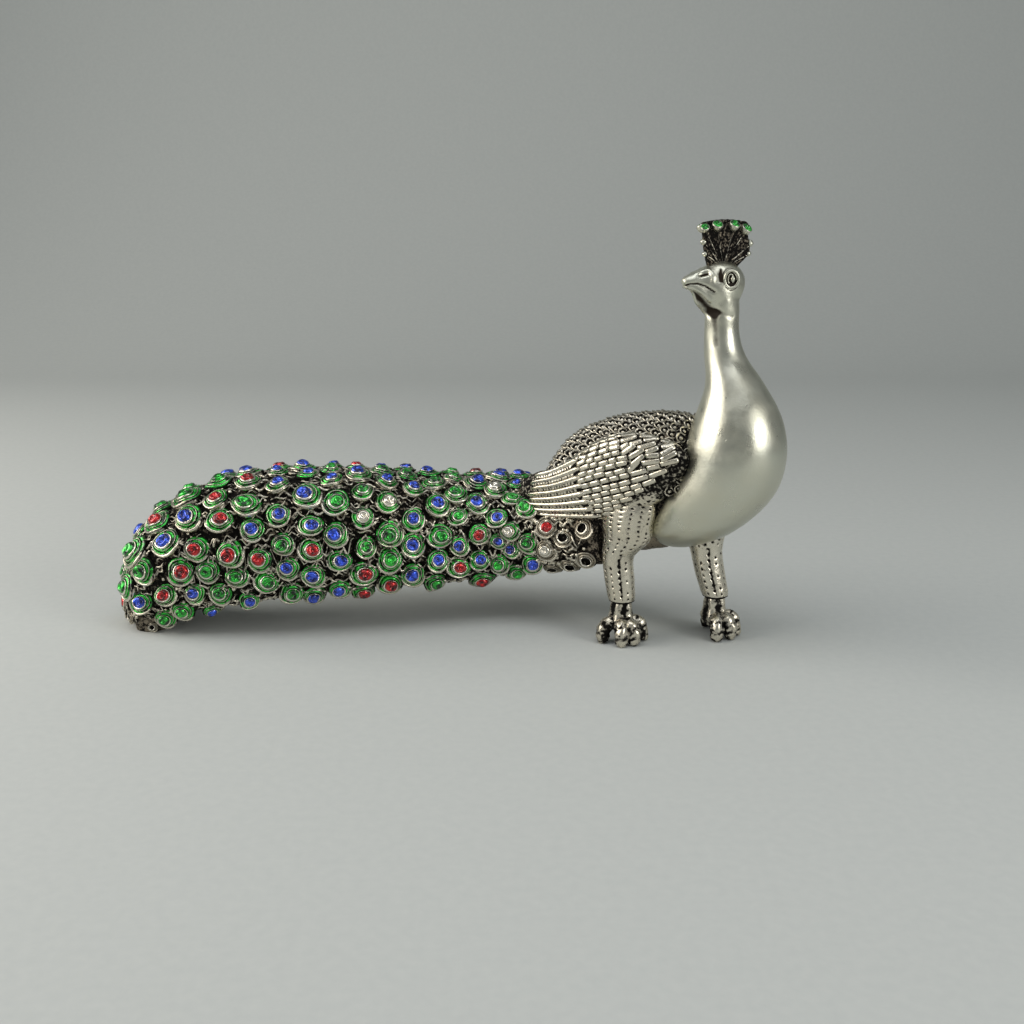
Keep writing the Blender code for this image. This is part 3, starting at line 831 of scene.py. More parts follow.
def make_train_ground(form, finish):
    """The dark ground between the eyes, plain underneath."""
    rows, sides = 230, 120
    points, worn = [], []
    for k in range(rows + 1):
        t = form.at_length(k / rows)
        for a, spot, outward in form.section(t, sides):
            rough = noise.noise(spot * 0.9) * 0.5 + noise.noise(spot * 2.3) * 0.4
            shown = clamp((math.sin(a) + 0.95) / 0.2)
            points.append(spot + outward * (rough * 0.35 * shown - 0.15))
            worn.append(0.16 + 0.85 * rough + 0.15 * (t < 0.1) + 0.3 * (spot.z < 4.5) if shown else 0.42)
    ends = [tuple(range(sides)), tuple(range(rows * sides, (rows + 1) * sides))]
    obj = new_piece("train_ground", points, tube_faces(sides, rows + 1) + ends, worn)

    def cut_sole(bm):
        cut = bmesh.ops.bisect_plane(
            bm, geom=bm.verts[:] + bm.edges[:] + bm.faces[:], plane_co=(0, 0, 0), plane_no=(0, 0, -1), clear_outer=True
        )
        rim = [edge for edge in cut["geom_cut"] if isinstance(edge, bmesh.types.BMEdge)]
        bmesh.ops.holes_fill(bm, edges=rim, sides=0)

    edit(obj, cut_sole)
    outward_faces(obj)
    return finish_piece(obj, finish)


def eye_turn(directions, rng):
    """The turn of one eye in its place: lower side downwards, tipped up a little, as it was soldered."""
    low_x, low_y = -directions.col[0].z, -directions.col[1].z
    level = math.hypot(low_x, low_y)
    low = math.atan2(low_y, low_x) if level > 0.3 else rng.uniform(-math.pi, math.pi)
    tip = math.radians(rng.uniform(6, 20) * level + (10 if directions.col[2].z < -0.05 else 0))
    tilt = Matrix.Rotation(tip, 3, Vector((math.sin(low), -math.cos(low), 0)))
    tilt = tilt @ Matrix.Rotation(math.radians(rng.uniform(-9, 9)), 3, "Y")
    return directions @ tilt @ Matrix.Rotation(low - math.pi / 2 + rng.uniform(-0.5, 0.5), 3, "Z")


def vine(form, start, at, phase, sway):
    """One short crooked wire lying along the train, as points with their share of its thickness."""
    line = []
    for k, share in enumerate(VINE_SHARES):
        own_t, own_a = start + k * 0.0042, at + sway * math.sin(phase + k * 1.5)
        if not 0.002 < own_t < 0.998:
            break
        spot, directions = form.place(own_t, own_a)
        if spot.z < 0.9:
            break
        lift = 0.15 + 0.4 * math.sin(math.pi * (k + 0.5) / len(VINE_SHARES))
        line.append((spot + directions.col[2] * lift, share))
    return line


def make_train(finishes):
    form = Form(TRAIN, powers=(2.3, 3.6))
    make_train_ground(form, finishes["ground"])
    cells, corners = train_cells(form)
    rng = random.Random(5)
    shapes = eye_shapes()
    spots = {name: [] for name in (*BOSS_SHARES, "bare", *RUMP_EYES)}
    for t, angle, radius in cells:
        if math.sin(angle) < NO_EYES_UNDER:
            continue
        spot, directions = form.place(t, angle)
        colour = rng.choices(tuple(BOSS_SHARES), tuple(BOSS_SHARES.values()))[0]
        size, kind = radius * rng.uniform(0.84, 1.04), rng.randrange(EYE_KINDS)
        turn = eye_turn(directions, rng)
        if spot.z < LOWEST_EYE:
            continue
        if spot.z < LOWEST_FULL_EYE:
            colour, size = "bare", size * 0.5
        if t < RUMP_END:
            near = [name for name, place in RUMP_EYES.items() if math.dist(place, (t, angle)) < 0.01]
            colour = near[0] if near else "bare"
            size *= 0.98 if near else 0.8
        # Eyes that face the far side are flatter, to stay inside the solid's box.
        high = 0.95 if turn.col[2].y < 0.6 else 0.84
        scale = (size * rng.uniform(0.98, 1.08), size * rng.uniform(0.88, 1.0), size * high)
        spots[colour].append((spot, turn, scale, kind))
    coloured = [s for name in ("green", "blue", "red", "silver") for s in spots[name]]
    plain = spots["bare"] + spots["rump_red"] + spots["rump_silver"]
    everything = coloured + plain
    bosses = {"green": spots["green"], "blue": spots["blue"], "red": spots["red"] + spots["rump_red"]}
    silver_bosses = spots["silver"] + spots["rump_silver"]
    silver = (
        ("train_eye_seats", everything, "seat", "carved"), ("train_outer_wires", everything, "outer_wire", "carved"),
        ("rump_bare_bands", plain, "bands", "rump"), ("train_boss_wires", everything, "inner_wire", "wire"),
        ("train_coiled_wires", coloured, "coil", "carved"), ("train_silver_bosses", silver_bosses, "boss", "wire"),
    )
    for name, where, shape, finish in silver:
        finish_piece(laid(name, where, shapes[shape], finishes[finish]))
    finish_piece(laid("train_green_bands", coloured, shapes["bands"], finishes["green"]))
    for colour, where in bosses.items():
        finish_piece(laid(f"train_{colour}_bosses", where, shapes["boss"], finishes[colour]))
    lines, grains = [], []
    for t, angle in corners:
        if math.sin(angle) < NO_WIRES_UNDER:
            continue
        rump = t < 0.12
        for _ in range(3):
            start, at = t + rng.uniform(-0.012, 0.004), angle + rng.uniform(-0.14, 0.14)
            line = vine(form, start, at, rng.uniform(0, 6.28), rng.uniform(0.02, 0.07))
            if len(line) > 2:
                thick = rng.uniform(0.7, 1.7)
                lines.append([(point, share * thick) for point, share in line])
        for _ in range(rng.randrange(3) + 4 * rump):
            along, around = (0.02, 0.22) if rump else (0.01, 0.12)
            at = min(max(t + rng.uniform(-along, along), 0.005), 0.99)
            spot, directions = form.place(at, angle + rng.uniform(-around, around))
            size = rng.uniform(0.28, 0.55) * (1.5 if rump else 1)
            if spot.z > 1.5:
                grains.append((spot + directions.col[2] * 0.25, directions, (size, size, size), 0))
    grain = turned([(0, -1, 0), (0.8, -0.5, 0.1), (1, 0.1, 0.5), (0.7, 0.7, 0.85), (0, 0.95, 1)], 8)
    finish_piece(wired("train_vines", lines, 0.22, 5, finishes["carved"], (0.12, 0.82)))
    finish_piece(laid("train_grains", grains, shape_set("grain", [grain]), finishes["carved"], 0.4, 0.2, 8))


# Bust

# Lines pressed into or raised on both sides of the head: points ahead and up in the head's own
# frame, depth (raised if negative), width, and how much darker it is painted: tarnish, and along the throat painted
# shade under the beak as well
HEAD_LINES = (
    ("mouth", ((9.6, 88.7), (8.2, 89.3), (6.6, 89.4), (5.0, 88.9), (3.0, 87.5)), 0.42, 0.26, 0.9),
    ("lower_lip", ((8.8, 88.0), (7.0, 88.1), (5.0, 87.2), (3.7, 85.6)), -0.34, 0.50, 0.0),
    # The throat is painted darker partly for tarnish in its groove and partly as painted shade under the lower
    # mandible.
    ("throat", ((7.3, 86.8), (5.3, 85.3), (3.9, 83.8), (2.8, 82.6)), 0.50, 0.95, 0.68),
    ("nostril", ((5.7, 91.2), (4.2, 91.6)), 0.50, 0.30, 0.9),
    ("nostril_lid", ((6.6, 91.4), (5.2, 92.2), (3.7, 92.4), (3.2, 91.2), (3.4, 89.8)), -0.26, 0.35, 0.0),
    ("beak_root", ((2.7, 93.1), (2.4, 91.6), (2.5, 90.2)), 0.22, 0.75, 0.42),
    ("brow", ((1.3, 92.6), (1.75, 91.4), (1.7, 90.0)), 0.25, 0.36, 0.85),
    ("cheek", ((2.8, 88.6), (1.6, 87.0), (0.2, 85.6)), -0.30, 1.3, 0.0),
    ("collar", ((2.4, 83.2), (0.6, 82.5), (-1.4, 82.0)), 0.18, 0.70, 0.45),
    ("neck_groove", ((2.6, 82.4), (2.3, 79.0), (2.1, 75.4)), 0.12, 0.80, 0.50),
)
EYE = (-0.75, 90.4)


def near_line(f, z, line):
    """The distance of points to a line of several legs, in the plane of the head's side."""
    best = np.full(len(f), 1e9)
    for (f0, z0), (f1, z1) in zip(line, line[1:]):
        df, dz = f1 - f0, z1 - z0
        share = np.clip(((f - f0) * df + (z - z0) * dz) / (df * df + dz * dz), 0, 1)
        best = np.minimum(best, np.hypot(f - f0 - share * df, z - z0 - share * dz))
    return best


def breast_rings(sides, steps):
    rings = []
    for k in range(steps + 1):
        up, forward, long, wide = spline(BREAST, k / steps)
        rings.append([
            BIRD_FRAME @ Vector((forward + long * math.cos(a), wide * math.sin(a), up)) for a in angles_round(sides)
        ])
    return rings


def read_vectors(mesh, name):
    """One vector of each point of the mesh, as rows of an array."""
    values = np.empty(len(mesh.vertices) * 3, np.float32)
    mesh.vertices.foreach_get(name, values)
    return values.reshape(-1, 3).astype(float)


def make_bust(finish):
    """Breast, neck and head as one smooth skin, with the lines of the face pressed into it."""
    points, faces = loft(breast_rings(80, 160))
    form = Form(HEAD, powers=(2.1, 2.1), place=HEAD_PLACE, turn=HEAD_TURN)
    more, more_faces = loft([[form.point(k / 90, a) for a in angles_round(60)] for k in range(91)])
    faces += [tuple(k + len(points) for k in face) for face in more_faces]
    obj = new_piece("bust_core", points + more, faces)
    outward_faces(obj)
    skin = obj.modifiers.new("skin", "REMESH")
    skin.mode, skin.voxel_size = "VOXEL", 0.34
    soft = obj.modifiers.new("soft", "SMOOTH")
    soft.factor, soft.iterations = 0.5, 7
    obj = applied(obj, "bust")
    mesh = obj.data
    place, normal = read_vectors(mesh, "co"), read_vectors(mesh, "normal")
    turn = np.array(Matrix.Rotation(-HEAD_TURN, 3, "Z"))
    own = (place - np.array([*HEAD_PLACE, 0])) @ turn.T
    look = normal @ turn.T
    f, z = own[:, 0], own[:, 2]
    aside = np.clip((np.abs(look[:, 1]) - 0.05) / 0.35, 0, 1)
    worn = np.full(len(place), 0.85)
    push = np.zeros(len(place))
    for name, line, depth, width, dark in HEAD_LINES:
        near = np.exp(-((near_line(f, z, line) / width) ** 2))
        reach = near * (np.clip(aside * 2, 0, 1) if name in ("mouth", "throat") else aside)
        push -= depth * reach
        # Each line darkens the worn share: tarnish in the grooves, and painted shade under the beak along the throat.
        worn -= dark * reach
    # The eye lies in a hollow, and tarnish stays round its ring and inside it.
    far = np.hypot((f - EYE[0]) / 2.05, (z - EYE[1]) / 2.45)
    push -= 0.25 * aside * np.clip(1.15 - far, 0, 1)
    worn -= aside * (0.62 * np.exp(-(((far - 1.0) / 0.10) ** 2)) + 0.75 * np.clip((0.78 - far) / 0.1, 0, 1))
    place += normal * push[:, None]
    mesh.vertices.foreach_set("co", place.astype(np.float32).ravel())
    store(mesh, "worn", "FLOAT", np.clip(worn, 0, 1).astype(np.float32))
    outward_faces(obj)
    return finish_piece(obj, finish)


def make_face_rings(finish):
    """A raised ring round each eye, the eyeball in it and a lid curled over its front."""
    lines = []
    for side in (1, -1):
        look = HEAD_FRAME @ Matrix.Translation((EYE[0], side * 4.75, EYE[1]))
        look = look @ Matrix.Rotation(side * math.radians(-14), 4, "Z")
        look = look @ Matrix.Rotation(side * math.radians(-90), 4, "X")
        # In this frame X runs ahead along the head, and Z outwards.
        up = -side
        turns = [math.tau * k / 28 for k in range(29)]
        ring = [(look @ Vector((1.62 * math.cos(a), 1.95 * math.sin(a), 0)), 1.0) for a in turns]
        ball = [
            (look @ Vector((-0.25, up * (0.75 - 0.38 * k), 0.05)), share)
            for k, share in enumerate((0.5, 1.25, 1.55, 1.25, 0.5))
        ]
        lid = [
            (look @ Vector((0.25 + 0.62 * math.cos(a), up * 1.15 * math.sin(a), 0.12)), 0.42)
            for a in (-0.9 + 0.25 * k for k in range(14))
        ]
        lines += [ring, ball, lid]
    return finish_piece(wired("eye_rings", lines, 0.36, 10, finish, (0.95, 0.95)))


# Body and wings


def dense_form(form, columns, sides, relief):
    """A closed skin over the form. relief(t, angle, point) gives how far out a point moves and its worn share."""
    rings, worn = [], []
    for k in range(columns + 1):
        t = k / columns
        ring = []
        for a, spot, outward in form.section(t, sides):
            out, share = relief(t, a, spot)
            ring.append(spot + outward * out)
            worn.append(share)
        rings.append(ring)
    points, faces = loft(rings)
    return points, faces, worn + [0.4, 0.4]


def make_body(finish):
    form = Form(BODY, powers=(2.1, 2.1), place=BIRD_PLACE, turn=BODY_TURN)

    def relief(t, a, spot):
        rough = noise.noise(spot * 1.1) + 0.6 * noise.noise(spot * 2.9)
        fur = noise.noise(Vector((spot.x * 2.6, spot.y * 2.6, spot.z * 0.9)))
        # It lies a little deeper where the breast laps over it.
        lap = clamp((0.42 - t) / 0.15) * clamp((44 - spot.z) / 6) * clamp((spot.z - 24) / 3)
        under = clamp((-0.5 - math.sin(a)) / 0.2)
        return rough * 0.18 + fur * 0.15 - 0.15 - 2.5 * lap, 0.16 + 0.30 * rough + 0.25 * fur + 0.45 * under

    cast_piece("body", *dense_form(form, 120, 110, relief), finish)
    return form


def scale_shape(number):
    """A rounded scale of length 1: a high curved rim towards the tail, a ring inside it and a dot."""
    rng = random.Random(40 + number)
    skew = rng.uniform(-0.06, 0.06)

    def shape(r, a, z):
        lift = 0.42 * math.cos(a) * r
        return r * math.cos(a) * (1 + skew * math.sin(a)), r * math.sin(a) * 1.05, z + lift

    points, faces, worn = turned(
        [(0, -0.45, 0), (0.50, -0.4, 0.0), (0.53, 0.04, 0.45), (0.49, 0.17, 1), (0.42, 0.14, 0.6), (0.34, 0.02, 0.12),
         (0.22, 0.02, 0.20), (0.15, 0.08, 0.7), (0, 0.16, 1)], 12, shape,
    )
    for k, (x, y, _) in enumerate(points):
        if math.hypot(x, y) > 0.3:
            worn[k] *= 0.30 + 0.70 * (0.5 + 0.5 * math.cos(math.atan2(y, x))) ** 0.7
    return points, faces, worn


def make_saddle(form, finish):
    """Rounded scales over the back, laid like shingles."""
    shapes = shape_set("scale", [scale_shape(k) for k in range(3)])
    rng = random.Random(9)
    spots = []
    columns = round(form.run[-1] / SCALE_PITCH[0])
    for i in range(columns):
        t = form.at_length((i + 0.5) / columns)
        if not 0.03 < t < 0.97:
            continue
        girth = form.ring(t, 3, 0, lambda: 0)[1]
        count = round(girth / SCALE_PITCH[1])
        angles, _ = form.ring(t, count, 0.25 + 0.5 * (i % 2), lambda: rng.uniform(-0.08, 0.08))
        for angle in angles:
            if math.sin(angle) < 0.12:
                continue
            spot, directions = form.place(t, angle)
            size = rng.uniform(2.0, 2.3)
            spots.append((spot, directions, (size, size, size * 1.6), rng.randrange(3)))
    return finish_piece(laid("back_scales", spots, shapes, finish, 0.05, 0.05, 4))


def pad_shape(number):
    """A cushion-like feather pad of length 1 and width 1, higher towards its tip."""
    rng = random.Random(60 + number)
    us, vs = (0, 0.035, 0.25, 0.5, 0.75, 0.965, 1), (0, 0.12, 0.36, 0.64, 0.88, 1)
    points, faces, worn = [], [], []
    for u in us:
        for v in vs:
            edge = 0 if u in (0, 1) or v in (0, 1) else 1
            crown = 1 - (2 * v - 1) ** 2 * 0.42 - (2 * u - 1) ** 4 * 0.12
            taper = 1 - 0.10 * abs(2 * u - 1) ** 3
            x = (u - 0.5) * (0.985 - 0.08 * (2 * v - 1) ** 2)
            y = (v - 0.5) * 0.93 * taper
            z = -0.45 if not edge else 0.12 + 0.20 * crown + 0.10 * u + rng.uniform(-0.03, 0.03)
            points.append((x, y, z))
            worn.append(0.0 if not edge else min(1, 0.52 + 0.40 * crown + rng.uniform(-0.06, 0.06)))
    n, m = len(us) - 1, len(vs) - 1
    for i in range(n):
        for j in range(m):
            a = i * (m + 1) + j
            faces.append((a, a + m + 1, a + m + 2, a + 1))
    rim = list(range(m + 1)) + [i * (m + 1) + m for i in range(1, n + 1)]
    rim += [n * (m + 1) + j for j in range(m - 1, -1, -1)] + [i * (m + 1) for i in range(n - 1, 0, -1)]
    faces.append(tuple(rim))
    return points, faces, worn


def wing_form(left):
    rows = [
        (f, left * side, z, 180 + left * (turn - 180), -left * roll, *rest) for f, side, z, turn, roll, *rest in WING
    ]
    return Form(rows, place=BIRD_PLACE, turn=BODY_TURN)


def outer_angle(left, v):
    """The section angle at height v, from -1 at the lower edge to 1 at the upper one, on the outer side."""
    a = math.asin(min(max(v, -1), 1))
    return math.pi - a if left > 0 else a


def round_angle(form, left, t, run):
    """The section angle that lies this far round from the middle of the outer side, or None past the edge."""
    row = spline(form.rows, t)
    half, high = row[5], row[6] if run > 0 else row[7]
    limit = math.radians(150 if run > 0 else 96)
    done, last = 0.0, (half, 0.0)
    for k in range(1, 61):
        a = limit * k / 60
        spot = (half * math.cos(a), high * math.sin(a))
        done += math.dist(spot, last)
        last = spot
        if done >= abs(run):
            a = math.copysign(a, run)
            return math.pi - a if left > 0 else a
    return None


def row_place(form, left, t, run):
    """A place in a row that keeps this distance from the wing's middle, as point and directions."""
    near = [(own, round_angle(form, left, own, run)) for own in (t - 0.006, t, t + 0.006)]
    if near[1][1] is None:
        return None
    points = [form.point(own, angle) for own, angle in near if angle is not None]
    along = (points[-1] - points[0]).normalized()
    spot = form.point(t, near[1][1])
    around = (form.point(t, near[1][1] + 0.04) - form.point(t, near[1][1] - 0.04)).normalized()
    return spot, directions_at(spot, form.centre(t), along, around)


def make_wing(left, name, finish, pads):
    """Rows of small feathers that run along the wing and end at its edge, then the long feathers."""
    form = wing_form(left)

    def relief(t, a, spot):
        rough = noise.noise(spot * 1.3)
        # Below the feathers it is smooth and punched, like the thigh that joins it there.
        thigh = clamp((52 - 35 * t - spot.z) / 0.8) * clamp((t - 0.30) / 0.03)
        marks = max(0.0, noise.noise(spot * 1.7) - 0.12) * 2.4
        return -0.22 + rough * 0.1, 0.22 + 0.25 * rough + thigh * (0.5 - marks)

    cast_piece(f"{name}_wing_core", *dense_form(form, 110, 90, relief), finish)

    rng = random.Random(31)
    spots = []
    for number in PAD_ROWS:
        run = (number + 0.5) * PAD_WIDTH
        end = 0.60 + 0.03 * math.sin(number * 1.7)
        # The lower rows start further back, so that a dark gap parts the wing from the breast.
        share = 0.015 + 0.078 * max(0, -number)
        while share < end:
            length = (4.2 if share < 0.22 else 2.9) * rng.uniform(0.78, 1.2)
            part = length / form.run[-1]
            t = form.at_length(share + part / 2)
            placed = row_place(form, left, t, run)
            if placed is None:
                share += part / 4
                continue
            spot, directions = placed
            size = (length, PAD_WIDTH * 1.07, 0.78)
            spots.append((spot - directions.col[2] * 0.08, directions, size, rng.randrange(4)))
            share += part
    finish_piece(laid(f"{name}_wing_pads", spots, pads, finish, 0.03, 0.03, 7))
    make_primaries(form, left, name, finish)


def make_primaries(form, left, name, finish):
    """Long feathers to the wing's tip: a smooth rounded upper half and a notched lower half."""
    parts = []
    steps, wide, share = 44, 8, 1.92 / LONG_FEATHERS
    for k in range(LONG_FEATHERS):
        v0 = -0.98 + 1.92 * k / LONG_FEATHERS
        v1 = v0 + share
        middle = (v0 + v1) / 2
        start, end = 0.555 + 0.012 * (k % 2), 0.985 - 0.10 * (k / LONG_FEATHERS) ** 1.5 - 0.02 * (k % 2)
        rings, worn = [], []
        for i in range(steps + 1):
            u = i / steps
            t = form.at_length(start + (end - start) * u)
            close = math.sqrt(max(0.0, 1 - ((u - 0.86) / 0.14) ** 2)) if u > 0.86 else min(1.0, u * 14)

            def place(w):
                v = middle + (v0 - middle + (v1 - v0) * w) * (0.25 + 0.75 * close)
                spot, directions = form.place(t, outer_angle(left, v))
                return spot, directions.col[2]

            ring = []
            for j in range(wide + 1):
                w = j / wide
                spot, outward = place(w)
                ridge = math.sin(math.pi * clamp((w - 0.34) / 0.66)) ** 0.7 if w > 0.34 else 0.0
                notch = 0.5 + 0.5 * math.cos(math.tau * u * 26) if w < 0.40 and u > 0.12 else 0.0
                high = (0.12 + 0.62 * ridge if w > 0.34 else 0.22 + 0.24 * notch) * (0.4 + 0.6 * close)
                ring.append(spot + outward * high)
                worn.append(0.25 + 0.7 * ridge if w > 0.34 else 0.1 + 0.75 * notch)
            for w in (1.0, 0.0):
                spot, outward = place(w)
                ring.append(spot - outward * 0.5)
                worn.append(0.0)
            rings.append(ring)
        parts.append((*loft(rings), worn + [0.1, 0.1]))
    return cast_piece(f"{name}_wing_feathers", *merged(parts), finish)


# Legs and claws


def leg_slices(leg):
    shank, thigh = SHANK_RADIUS, leg["thigh"]
    return (
        (LEG_TOP, 3.4 + thigh, 0.6, 5.2 + 0.6 * thigh, 2.6),
        (35.0, 2.6 + thigh, 0.8, 7.2, 3.8),
        (31.0, 1.8 + 0.9 * thigh, 0.6, 6.9, 4.2),
        (27.0, 0.7 + 1.1 * thigh, 0.3, 5.4 + 0.5 * thigh, 4.1),
        (22.0, -0.1, 0.1, shank * 1.13, shank),
        (16.0, -0.2, 0.0, shank * 1.03, shank),
        (SHANK_END + 1.2, 0.0, 0.0, shank * 0.95, shank * 0.93),
        (SHANK_END, 0.0, 0.0, shank * 0.87, shank * 0.85),
        (SHANK_END - 0.3, 0.0, 0.0, shank * 0.68, shank * 0.66),
        (SHANK_END - 3.0, 0.0, 0.0, shank * 0.70, shank * 0.68),
        (SHANK_END - 5.0, 0.0, 0.0, shank * 0.90, shank * 0.85),
        (LEG_FOOT, 0.0, 0.0, shank * 0.70, shank * 0.70),
    )


def slice_at(slices, up):
    for k, ((up0, *a), (up1, *b)) in enumerate(zip(slices, slices[1:])):
        if up0 >= up >= up1:
            share = (up0 - up) / (up0 - up1)
            if up0 > SHANK_END + 2:
                return spline(slices, (k + share) / (len(slices) - 1))[1:]
            return [x + (y - x) * share for x, y in zip(a, b)]
    return list(slices[-1][1:])


def punched(angle, up):
    """How deep the tool marks are at a place on the leg: (depth, darkness)."""
    depth = dark = 0.0
    if up > SHANK_END + 0.8:
        thigh = up > 23.5
        girth, pitch, share, tone = (16, 1.25, 0.92, 0.7) if thigh else (12, 1.55, 0.80, 0.85)
        column = angle / math.tau * girth
        row = up / pitch + 0.5 * (round(column) % 2)
        seed = math.sin(round(column) * 12.9 + round(row) * 78.2) * 43758.5
        seed -= math.floor(seed)
        if seed < share:
            across = abs(column - round(column)) * (math.tau * 3.9 / girth)
            along = abs(row - round(row)) * pitch
            jog = (seed * 7.3) % 1.0
            long_mark, wide_mark = (0.22 + 0.2 * jog, 0.36 - 0.18 * jog) if thigh else (0.34, 0.30)
            near = math.exp(-((across / wide_mark) ** 2 + (along / long_mark) ** 2) * 1.3)
            depth += 0.34 * near
            dark += tone * near
        if not thigh:
            off = abs((angle - SLEEVE_SEAM + math.pi) % math.tau - math.pi) * 3.8
            groove = math.exp(-((off / 0.33) ** 2)) * clamp((24 - up) / 2)
            depth += 0.26 * groove
            dark += 0.50 * groove
    if SHANK_END - 0.4 < up < SHANK_END + 0.35:
        dark += 0.8
    return depth, dark


def make_leg(leg, name, finish):
    slices = leg_slices(leg)
    foot, side, out = leg["forward"], math.copysign(1, leg["left"]), abs(leg["left"])
    rings, worn = [], []
    sides, steps = 132, 210
    for k in range(steps + 1):
        up = LEG_TOP - (LEG_TOP - LEG_FOOT) * k / steps
        forward, outward, long, wide = slice_at(slices, up)
        forward += foot - leg["lean"] * max(up - SHANK_END, 0)
        ring = []
        for a in angles_round(sides):
            depth, dark = punched(a, up)
            if up < SHANK_END - 0.3:
                rib = 0.5 + 0.5 * math.cos(5 * a + 0.8)
                depth -= 0.38 * rib * min(1, (SHANK_END - up) / 1.5)
                dark += 0.62 * (1 - rib)
            reach = Vector((long * math.cos(a), wide * math.sin(a), 0))
            reach -= reach.normalized() * depth
            ring.append(BIRD_FRAME @ Vector((forward + reach.x, side * (out + outward) + reach.y, up)))
            worn.append(clamp(0.72 - dark + 0.22 * noise.noise(ring[-1] * 0.6)))
        rings.append(ring)
    cast_piece(f"{name}_leg", *loft(rings), worn + [0.3, 0.3], finish)
    make_foot(leg, name, finish)


# The middle line of a toe: out from the foot's root, up, radius. Then the lump's profile: radius, height, worn share
TOE_ROUTE = (
    (-0.4, 4.4, 1.3), (0.6, 5.0, 1.5), (2.3, 5.2, 1.8), (4.0, 4.7, 1.95),
    (5.0, 3.2, 1.9), (5.2, 1.5, 1.7), (5.0, 0.3, 1.35),
)
FOOT_LUMP = (
    (0, 2.2, 0.0), (1.6, 2.3, 0.05), (2.7, 3.4, 0.1), (3.1, 4.8, 0.3), (2.6, 6.2, 0.55), (1.5, 7.0, 0.6),
    (0, 7.2, 0.6),
)


def make_foot(leg, name, finish):
    """Four curled toes with ringed knuckles, and the lump that they grow from."""
    parts = []
    start = BIRD_FRAME @ Matrix.Translation((leg["forward"], leg["left"], 0))
    for number, direction in enumerate(leg["toes"]):
        turn = start @ Matrix.Rotation(math.radians(direction), 4, "Z")
        rings, worn = [], []
        steps = 56
        for k in range(steps + 1):
            u = k / steps
            out, up, radius = spline(TOE_ROUTE, u)
            x0, z0, _ = spline(TOE_ROUTE, max(u - 0.01, 0))
            x1, z1, _ = spline(TOE_ROUTE, min(u + 0.01, 1))
            ahead = Vector((x1 - x0, 0, z1 - z0)).normalized()
            across = Vector((0, 1, 0))
            high = ahead.cross(across)
            knuckle = 0.5 + 0.5 * math.cos(math.tau * (u * 5.6 + 0.15 * number))
            close = math.sqrt(max(0.0, 1 - ((u - 0.92) / 0.08) ** 2)) if u > 0.92 else 1.0
            radius *= (0.96 + 0.05 * knuckle ** 0.5) * (0.5 + 0.5 * close)
            ring = []
            for a in angles_round(22):
                uneven = 1 + 0.16 * noise.noise(Vector((out * 0.9, up * 0.9 + number * 7, 0.8 * a)))
                uneven -= 0.07 * (0.5 + 0.5 * math.cos(5 * a + number))
                p = Vector((out, 0, up)) + across * (radius * uneven * math.cos(a))
                p += high * (radius * uneven * math.sin(a))
                p.z = max(p.z, 0.0)
                ring.append(turn @ p)
                top = (0.5 + 0.5 * math.sin(a)) ** 2
                rub = 0.50 * noise.noise(ring[-1] * 1.1) - 0.08
                worn.append(clamp((0.36 + 0.46 * knuckle ** 0.5) * (0.03 + 0.97 * top) + rub))
            rings.append(ring)
        parts.append((*loft(rings), worn + [0.2, 0.2]))
    parts.append(turned(
        FOOT_LUMP, 24,
        lambda r, a, z: tuple(start @ Vector((r * (1 + 0.1 * math.cos(4 * a)) * math.cos(a), r * math.sin(a), z))),
    ))
    return cast_piece(f"{name}_foot", *merged(parts), finish)


# Crest


# The fan's outline from its root: ahead, up
FAN_EDGE = (
    (3.6, 0.8), (4.3, 3.2), (4.8, 6.0), (5.3, 10.2), (2.0, 10.7), (-2.4, 10.7), (-6.1, 10.1), (-6.9, 5.6), (-6.7, 3.0),
    (-3.9, 0.5),
)
# Profiles of a cup, the enamel in it and a bead, of radius 1: radius, height and worn share
CUP = (
    (0, -1.0, 0.3), (0.55, -0.85, 0.5), (0.92, -0.35, 0.8), (1.0, 0.25, 1), (0.98, 0.45, 1), (0.84, 0.45, 1),
    (0.78, 0.28, 0.5), (0, 0.22, 0.5),
)
POOL = ((0, 0.0, 1), (0.88, 0.1, 1), (0.90, 0.46, 1), (0.70, 0.62, 1), (0.48, 0.56, 1), (0.34, 0.36, 1), (0, 0.30, 1))
BEAD = ((0, -0.9, 1), (0.6, -0.7, 1), (0.95, -0.2, 1), (0.95, 0.2, 1), (0.6, 0.7, 1), (0, 0.9, 1))
FOLD_STEPS = 6


def on_crest(ahead, side, up):
    """A place given from the crest's root."""
    return HEAD_FRAME @ (Vector((CREST_ROOT[0], 0, CREST_ROOT[1])) + Vector((ahead, side, up)))


